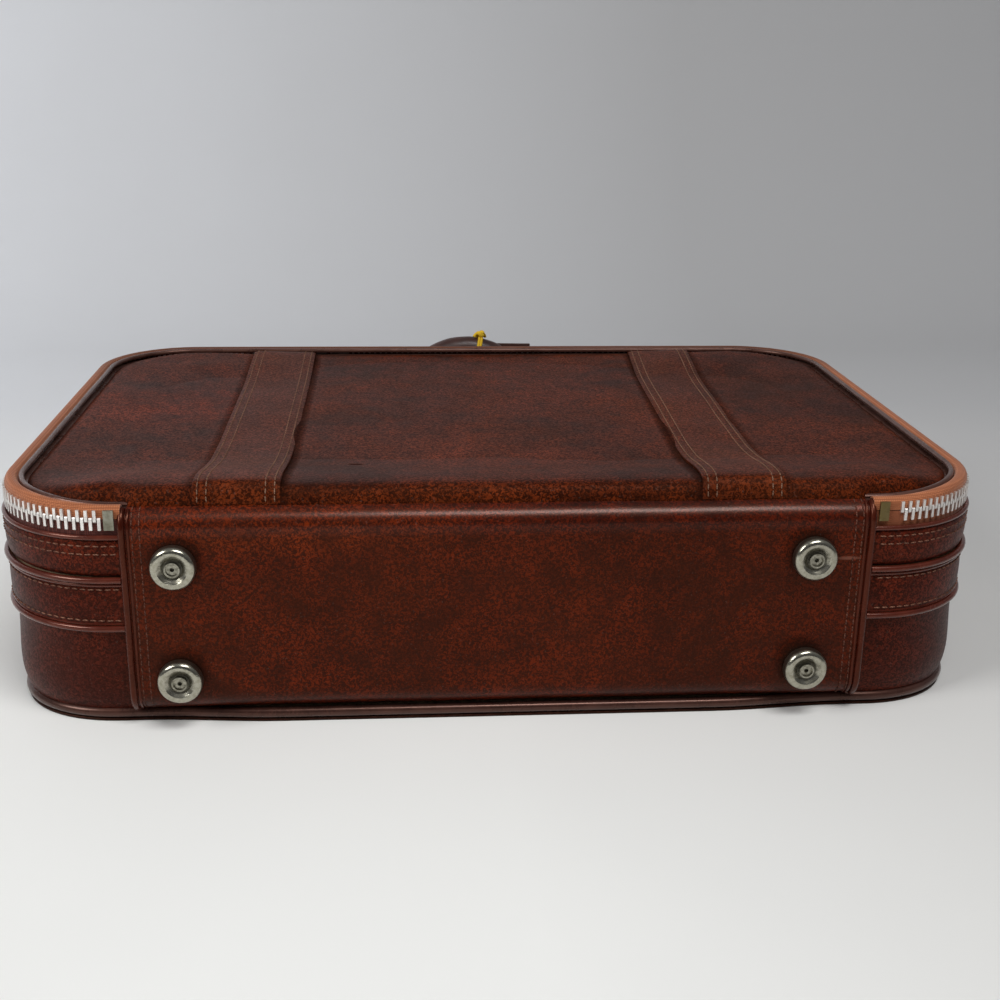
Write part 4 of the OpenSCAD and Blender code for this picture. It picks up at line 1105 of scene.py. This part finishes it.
def round_places(out, z, pitch=STITCH_PITCH, gap=ZIP_GAP):
    """Stitch places round the case, from one end of the zip to the other."""
    radius = CORNER_R + out
    arc = radius * math.pi / 2
    first = CORNER_X - gap
    lengths = [first, arc, 2 * CORNER_Y, arc, 2 * CORNER_X, arc, 2 * CORNER_Y, arc, first]
    places, s = [], pitch
    while s < sum(lengths) - pitch:
        leg, rest = 0, s
        while rest > lengths[leg]:
            rest -= lengths[leg]
            leg += 1
        places.append(leg_place(leg, rest, radius, gap, z))
        s += pitch
    return places


def leg_place(leg, rest, radius, gap, z):
    """The place on one run or turn of the way round the case."""
    starts = [(-gap, -CORNER_Y - radius), None, (-CORNER_X - radius, -CORNER_Y), None,
              (-CORNER_X, CORNER_Y + radius), None, (CORNER_X + radius, CORNER_Y), None,
              (CORNER_X, -CORNER_Y - radius)]
    ways = [(-1, 0), None, (0, 1), None, (1, 0), None, (0, -1), None, (-1, 0)]
    if starts[leg]:
        way = Vector((*ways[leg], 0))
        return Vector((*starts[leg], z)) + way * rest, way, Vector((-way.y, way.x, 0))
    centres = {1: (-1, -1, 270), 3: (-1, 1, 180), 5: (1, 1, 90), 7: (1, -1, 0)}
    side_x, side_y, from_a = centres[leg]
    a = math.radians(from_a) - rest / radius
    out = Vector((math.cos(a), math.sin(a), 0))
    centre = Vector((side_x * CORNER_X, side_y * CORNER_Y, z))
    return centre + out * radius, Vector((out.y, -out.x, 0)), out


def wall_stitches():
    """Two rows of stitches on the zip band and two on the belt."""
    band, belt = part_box("zip_band"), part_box("belt_band")
    rows = (("zip_band_stitches", (0.1 * mm, band[1].z - 2.4 * mm), (0.15 * mm, band[1].z - 6.2 * mm)),
            ("belt_stitches", (-0.35 * mm, belt[1].z - 1.6 * mm), (-0.35 * mm, belt[0].z + 2.2 * mm)))
    for name, first, second in rows:
        sew(name, round_places(*first) + round_places(*second), TAN_THREAD, "case")


def hinge_stitches():
    """Two rows of stitches beside each end of the hinge skin."""
    count = 29
    places = []
    for side in (-1, 1):
        for inset in (4.5 * mm, 7.8 * mm):
            aside = Vector((side * (HINGE_HALF - inset), 0, 0))
            for number in range(count):
                spot, along, out = hinge_frame(0.045 + 0.94 * number / (count - 1), 0.004)
                places.append((spot + aside + out * STITCH_LIFT, along, out))
    sew("hinge_stitches", places, DARK_THREAD, None)


def strap_stitches():
    """Two rows of stitches along each edge of the lid straps."""
    steps = 900
    places = []
    for side in (-1, 1):
        for inset in (2.4 * mm, 6.4 * mm):
            for share in (inset / STRAP_W, 1 - inset / STRAP_W):
                line = [strap_point(side, share, step / steps) for step in range(steps + 1)]
                gone = 0.5 * STITCH_PITCH
                for before, after in zip(line, line[1:]):
                    gone += (after - before).length
                    if gone >= STITCH_PITCH:
                        gone -= STITCH_PITCH
                        along = (after - before).normalized()
                        out = Vector((0, -along.z, along.y)).normalized()
                        places.append((after + out * STITCH_LIFT, along, out))
    sew("strap_stitches", places, PALE_THREAD, "lid")


# Inside the case

def tray_cloth():
    """The lining of the tray: a floor and walls in one cloth."""
    lo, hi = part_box("tray_lining")
    out, height, rows = hi.x - HALF_W - 0.2 * mm, hi.z - lo.z, 8
    piece = outline_face("tray_cloth", out, lo.z)
    bpy.ops.mesh.inset(thickness=6 * mm)
    pick_edges(lambda e: e.is_boundary)
    for _ in range(rows):
        bpy.ops.mesh.extrude_region_move(TRANSFORM_OT_translate={"value": (0, 0, height / rows)})
    bpy.ops.mesh.select_all(action="SELECT")
    bpy.ops.mesh.normals_make_consistent(inside=True)
    bpy.ops.object.mode_set(mode="OBJECT")
    shape(piece, lambda co: soft_corner(co, out, lo.z, 5 * mm))
    modifier(piece, "SOLIDIFY", thickness=0.8 * mm, offset=1)
    smooth(piece, 50)
    dress(piece, LINING, "lining", "case", "tray_lining")
    return piece


def soft_corner(co, out, floor_z, radius):
    """Rounds the lining where its wall meets its floor."""
    edge = inside(co.x, co.y, out)
    up = co.z - floor_z
    if up < radius and edge < radius:
        lift = radius - math.sqrt(max(0, radius ** 2 - (radius - edge) ** 2))
        return Vector((co.x, co.y, floor_z + max(up, 0.35 * lift)))
    return co


def webbing_strap(name, node, side):
    """A webbing strap on the tray's floor, slightly rippled."""
    lo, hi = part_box(node)

    def place(u, v):
        x = lo.x + (hi.x - lo.x) * u
        ripple = 0.35 * mm * noise.noise(Vector((x / (40 * mm), side, 0.2)))
        return Vector((x, lo.y + (hi.y - lo.y) * v, hi.z + ripple))

    piece = grid(name, 60, 8, place)
    thicken(upwards(piece), 1.2 * mm, -1, 0.3 * mm)
    return dress(piece, WEBBING, "webbing", "case", node)


def lid_lining_cloth():
    """The cloth stretched over the lid board."""
    lo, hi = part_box("lid_lining")
    half_x, half_y, out = hi.x, hi.y, hi.x - HALF_W

    def place(u, v):
        x, y = rounded(half_x * (2 * u - 1), half_y * (2 * v - 1), out)
        pucker = 0.25 * mm * noise.noise(Vector((x, y, 1.2)) / (25 * mm))
        return Vector((x, y, lo.z + 0.35 * mm + pucker))

    piece = grid("lid_lining_cloth", 80, 56, place)
    thicken(upwards(piece), 0.5 * mm, 1)
    dress(piece, LINING, "lining", "lid", "lid_lining")
    return piece


def lid_pocket_cloth():
    """A flat gathered pocket on the lid's lining, open along one edge."""
    lo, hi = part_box("lid_pocket")
    width, length = hi.x - lo.x, hi.y - lo.y
    depth = hi.z - lo.z - 0.6 * mm

    def place(u, v):
        x, y = lo.x + width * u, lo.y + length * v
        edge = min(u * width, (1 - u) * width, v * length) / (14 * mm)
        hang = fade(edge) * depth * 0.62
        folds = math.sin(u * math.tau * 26 + 1.5 * math.sin(u * 37))
        gather = 0.55 * mm * folds * fade(edge) * (0.25 + 0.75 * v ** 2)
        mouth = 0.5 * mm * fade((v - 0.94) / 0.02)
        return Vector((x, y, hi.z - 0.3 * mm - hang + gather - mouth))

    piece = grid("lid_pocket_cloth", 260, 60, place)
    thicken(upwards(piece), 0.5 * mm, -1, angle=70)
    dress(piece, LINING, "lining", "lid", "lid_pocket")
    return piece


# The handle

def on_arch(angle, out, side):
    """A point of the handle: its angle from the crown, its distance out from the arch and towards +Y."""
    reach = ARCH_R + out
    local = Vector((math.sin(angle) * reach, side, ARCH_Z + math.cos(angle) * reach))
    return PIVOT + Matrix.Rotation(HANDLE_LEAN, 3, "X") @ local


def grip():
    """A padded leather tube bent to the arch, with a sewn fin along its inside and a collar at each end."""
    radius, sides, steps, count = 7.3 * mm, 24, 56, 30
    arch_end, eye_reach = 96, 10.2
    end_a = math.radians(arch_end - eye_reach)
    loops = []
    for step in range(steps + 1):
        share = 2 * step / steps - 1
        swell = 1 - 0.10 * abs(share) ** 3
        collar = 1.04 if abs(share) > 0.93 else 1.0
        r = radius * swell * collar
        loop = []
        for a in (math.tau * i / sides for i in range(sides)):
            fin = 1.5 * mm * math.exp(-((a - math.pi) / 0.22) ** 2)
            loop.append(on_arch(share * end_a, (r + fin) * math.cos(a), r * math.sin(a)))
        loops.append(loop)
    deselect()
    loft(loops)
    begin("grip")
    piece = close_up(60)
    uneven(piece, 0.25 * mm, 9 * mm, 6)
    dress(piece, GRIP_LEATHER, "handle_leather", "handle", "handle_grip")
    places = []
    for number in range(count):
        angle = (2 * number / (count - 1) - 1) * end_a * 0.88
        for side in (-1.25 * mm, 1.25 * mm):
            along = (on_arch(angle + 0.01, 0, 0) - on_arch(angle - 0.01, 0, 0)).normalized()
            spot = on_arch(angle, -7.5 * mm, side)
            places.append((spot, along, spot - on_arch(angle, -5.5 * mm, 0)))
    sew("grip_stitches", places, PALE_THREAD, "handle")
    return piece


def tie():
    """A yellow cord wound twice round the grip and knotted on top, with two short ends."""
    angle, cord_r, grip_r, sides = math.radians(11), 0.95 * mm, 7.9 * mm, 10
    steps, turns, pitch = 60, 2, 1.3 * mm
    path = []
    for step in range(steps + 1):
        a = math.tau * turns * step / steps
        drift = (step / steps - 0.5) * turns * pitch / ARCH_R
        path.append(on_arch(angle + drift, grip_r * math.cos(a), grip_r * math.sin(a)))
    piece = tube("tie_cord", path, cord_r, sides)
    knot_r, knot_out = 1.7 * mm, 9.9 * mm
    knot = [on_arch(angle, knot_out + 0.8 * mm * math.sin(2 * t), knot_r * math.sin(t))
            + Vector((knot_r * math.cos(t), 0, 0)) for t in (math.tau * i / 24 for i in range(24))]
    knot_piece = tube("tie_knot", knot, 1.5 * mm, sides)
    ends = []
    for side, name in ((-1, "tie_end_left"), (1, "tie_end_right")):
        end = [on_arch(angle + side * (0.03 + 0.011 * t), knot_out + (0.4 * t - 0.15 * t * t) * mm,
                       side * 0.6 * t * mm) for t in range(6)]
        ends.append(tube(name, end, cord_r, sides))
    only(piece)
    for part in (knot_piece, *ends):
        part.select_set(True)
    bpy.ops.object.join()
    return dress(piece, YELLOW_CORD, "yellow_cord", "handle", "tag_tie")


def tube(name, path, radius, sides):
    """A round cord along a path."""
    loops, aside = [], None
    for number, point in enumerate(path):
        before, after = path[max(0, number - 1)], path[min(len(path) - 1, number + 1)]
        along = (after - before).normalized()
        aside = along.orthogonal() if aside is None else aside - along * aside.dot(along)
        aside = aside.normalized()
        loops.append(ring(point, aside, along.cross(aside), radius, sides))
    deselect()
    loft(loops)
    begin(name)
    return close_up(70)


def tag():
    """A blank leather strap tied to the outside of the grip, with a rolled edge."""
    lo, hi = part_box("tag_strap")
    middle_y = (lo.y + hi.y) / 2

    def place(u, v):
        up = (hi.z - lo.z) * v
        y = middle_y - up * math.sin(HANDLE_LEAN) + 0.5 * mm * math.sin(u * 5)
        return Vector((lo.x + (hi.x - lo.x) * u, y, lo.z + up))

    piece = thicken(grid("tag_strap_leather", 40, 10, place), 1.7 * mm, 0, 0.4 * mm, 3)
    return dress(piece, TAG_LEATHER, "handle_leather", "handle", "tag_strap")


# CAD nodes that keep their shape and take a finish

def finish_nodes():
    """Gives each kept node its finish."""
    finishes = {
        FOOT_NICKEL: ["feet", "foot_rivets"],
        NICKEL: ["foot_washers", "tie_buckle", "handle_brackets", "bracket_rivets", "handle_pins",
                 "handle_backing_plate", "handle_eyes", "slider_left", "slider_right", "pull_left",
                 "pull_right"],
        ZIP_METAL: ["zip_teeth_lower", "zip_teeth_upper"],
        STOP_METAL: ["zip_end_stops"],
        FIBREBOARD: ["back_board", "side_frame", "lid_board"],
    }
    for finish, names in finishes.items():
        for name in names:
            mesh = NODES[name].data
            mesh.materials.clear()
            mesh.materials.append(finish)


# Stage, light and camera

def stage_cloth():
    """A pale floor that sweeps up into a grey backdrop behind the case, both painted darker towards the
    right as shade.
    """
    deselect()
    bpy.ops.mesh.primitive_plane_add(size=1)
    floor = begin("floor_sweep")
    shape(floor, lambda co: Vector((co.x * 8, -2.5 + (co.y + 0.5) * 3.5, 0)))
    bpy.ops.object.mode_set(mode="EDIT")
    pick_edges(lambda e: all(v.co.y > 0 for v in e.verts))
    bpy.ops.mesh.extrude_region_move(TRANSFORM_OT_translate={"value": (0, 0, 3)})
    bpy.ops.object.mode_set(mode="OBJECT")
    modifier(floor, "BEVEL", width=0.35, segments=12, limit_method="ANGLE")
    smooth(floor, 60)
    made, tree, bsdf = material("pale_sweep", roughness=0.8, specular=0.1)
    where = object_place(tree)
    place = axes(tree)
    # Painted shadow: the floor darkens towards the right, where the case's shadow falls.
    floor_colour = tint(tree, remap(tree, place["X"], 0.0, 0.42), (0.86, 0.86, 0.835), (0.60, 0.59, 0.575))
    # Painted shade: the backdrop darkens from left to right, away from the main light.
    wall_colour = tint(tree, remap(tree, place["X"], -0.7, 0.3), (0.88, 0.895, 0.925), (0.53, 0.53, 0.535))
    behind = sums(tree, "MAXIMUM", remap(tree, place["Z"], 0.0, 0.1), remap(tree, place["Y"], -0.02, 0.42))
    colour = tint(tree, behind, floor_colour, wall_colour)
    blotch = speckle(tree, where, 0.12, 3.0)
    finish_with(tree, bsdf, tint(tree, remap(tree, blotch, 0.4, 0.7, 0, 0.08), colour, (0.55, 0.55, 0.55)))
    floor.data.materials.append(made)


def lamp(name, place, aim, size, power):
    """A rectangular soft light at a place, turned to an aim."""
    deselect()
    bpy.ops.object.light_add(type="AREA", location=place)
    light = bpy.context.object
    light.name = name
    light.data.shape = "RECTANGLE"
    light.data.size, light.data.size_y = size
    light.data.energy = power
    light.rotation_euler = (Vector(aim) - Vector(place)).to_track_quat("-Z", "Y").to_euler()


def lighting():
    """A soft room: the main light from the left in front, a weaker one overhead, and a dim room."""
    world = bpy.data.worlds.new("studio")
    bpy.context.scene.world = world
    world.use_nodes = True
    tree = world.node_tree
    way = put(tree, "SeparateXYZ", {0: put(tree, "TexCoord").outputs["Generated"]}).outputs
    lift = sums(tree, "ADD", sums(tree, "MULTIPLY", way["Z"], 0.5), sums(tree, "MULTIPLY", way["Y"], 0.5))
    colour = tint(tree, remap(tree, lift, -0.4, 0.6), (0.075, 0.075, 0.08), (0.26, 0.265, 0.275))
    tree.links.new(colour, tree.nodes["Background"].inputs["Color"])
    lamp("main_light", (-1.55, -0.95, 1.35), (0, 0, 0.05), (0.8, 0.8), 21)
    lamp("overhead", (0.3, -0.8, 1.5), (0.05, -0.1, 0.1), (0.8, 0.45), 14)


def camera():
    """The photograph's viewpoint: a little left of the middle, above, and looking down."""
    place = (-47.9 * mm, -720.0 * mm, 297.7 * mm)
    yaw, pitch, roll = 0.081, 0.326, -0.015
    focal_px, frame_px = 1350, 1000
    deselect()
    bpy.ops.object.camera_add()
    eye = bpy.context.object
    eye.name = "photo_view"
    eye.data.sensor_width = 36
    eye.data.lens = eye.data.sensor_width * focal_px / frame_px
    eye.matrix_world = (Matrix.Translation(place) @ Matrix.Rotation(-yaw, 4, "Z")
                        @ Matrix.Rotation(math.pi / 2 - pitch, 4, "X") @ Matrix.Rotation(-roll, 4, "Z"))
    bpy.context.scene.camera = eye


STITCH = stitch_model()
back_skin()
back_bead()
side_skin()
belt_band()
belt_beads()
zip_band()
zip_bead()
zip_tapes()
lid_bead()
hinge_skin()
hinge_bead("hinge_bead_left", -1, "hinge_piping_left", "hinge_piping_ends")
hinge_bead("hinge_bead_right", 1, "hinge_piping_right", "hinge_piping_ends")
lid_cushion()
lid_strap("lid_strap_left_vinyl", -1, "lid_strap_left")
lid_strap("lid_strap_right_vinyl", 1, "lid_strap_right")
wall_stitches()
hinge_stitches()
strap_stitches()
tray_cloth()
webbing_strap("webbing_left", "tie_strap_left", -1)
webbing_strap("webbing_right", "tie_strap_right", 1)
lid_lining_cloth()
lid_pocket_cloth()
grip()
tie()
tag()
bpy.data.objects.remove(STITCH)
finish_nodes()
stage_cloth()
lighting()
camera()

bpy.context.scene.view_settings.view_transform = "Standard"
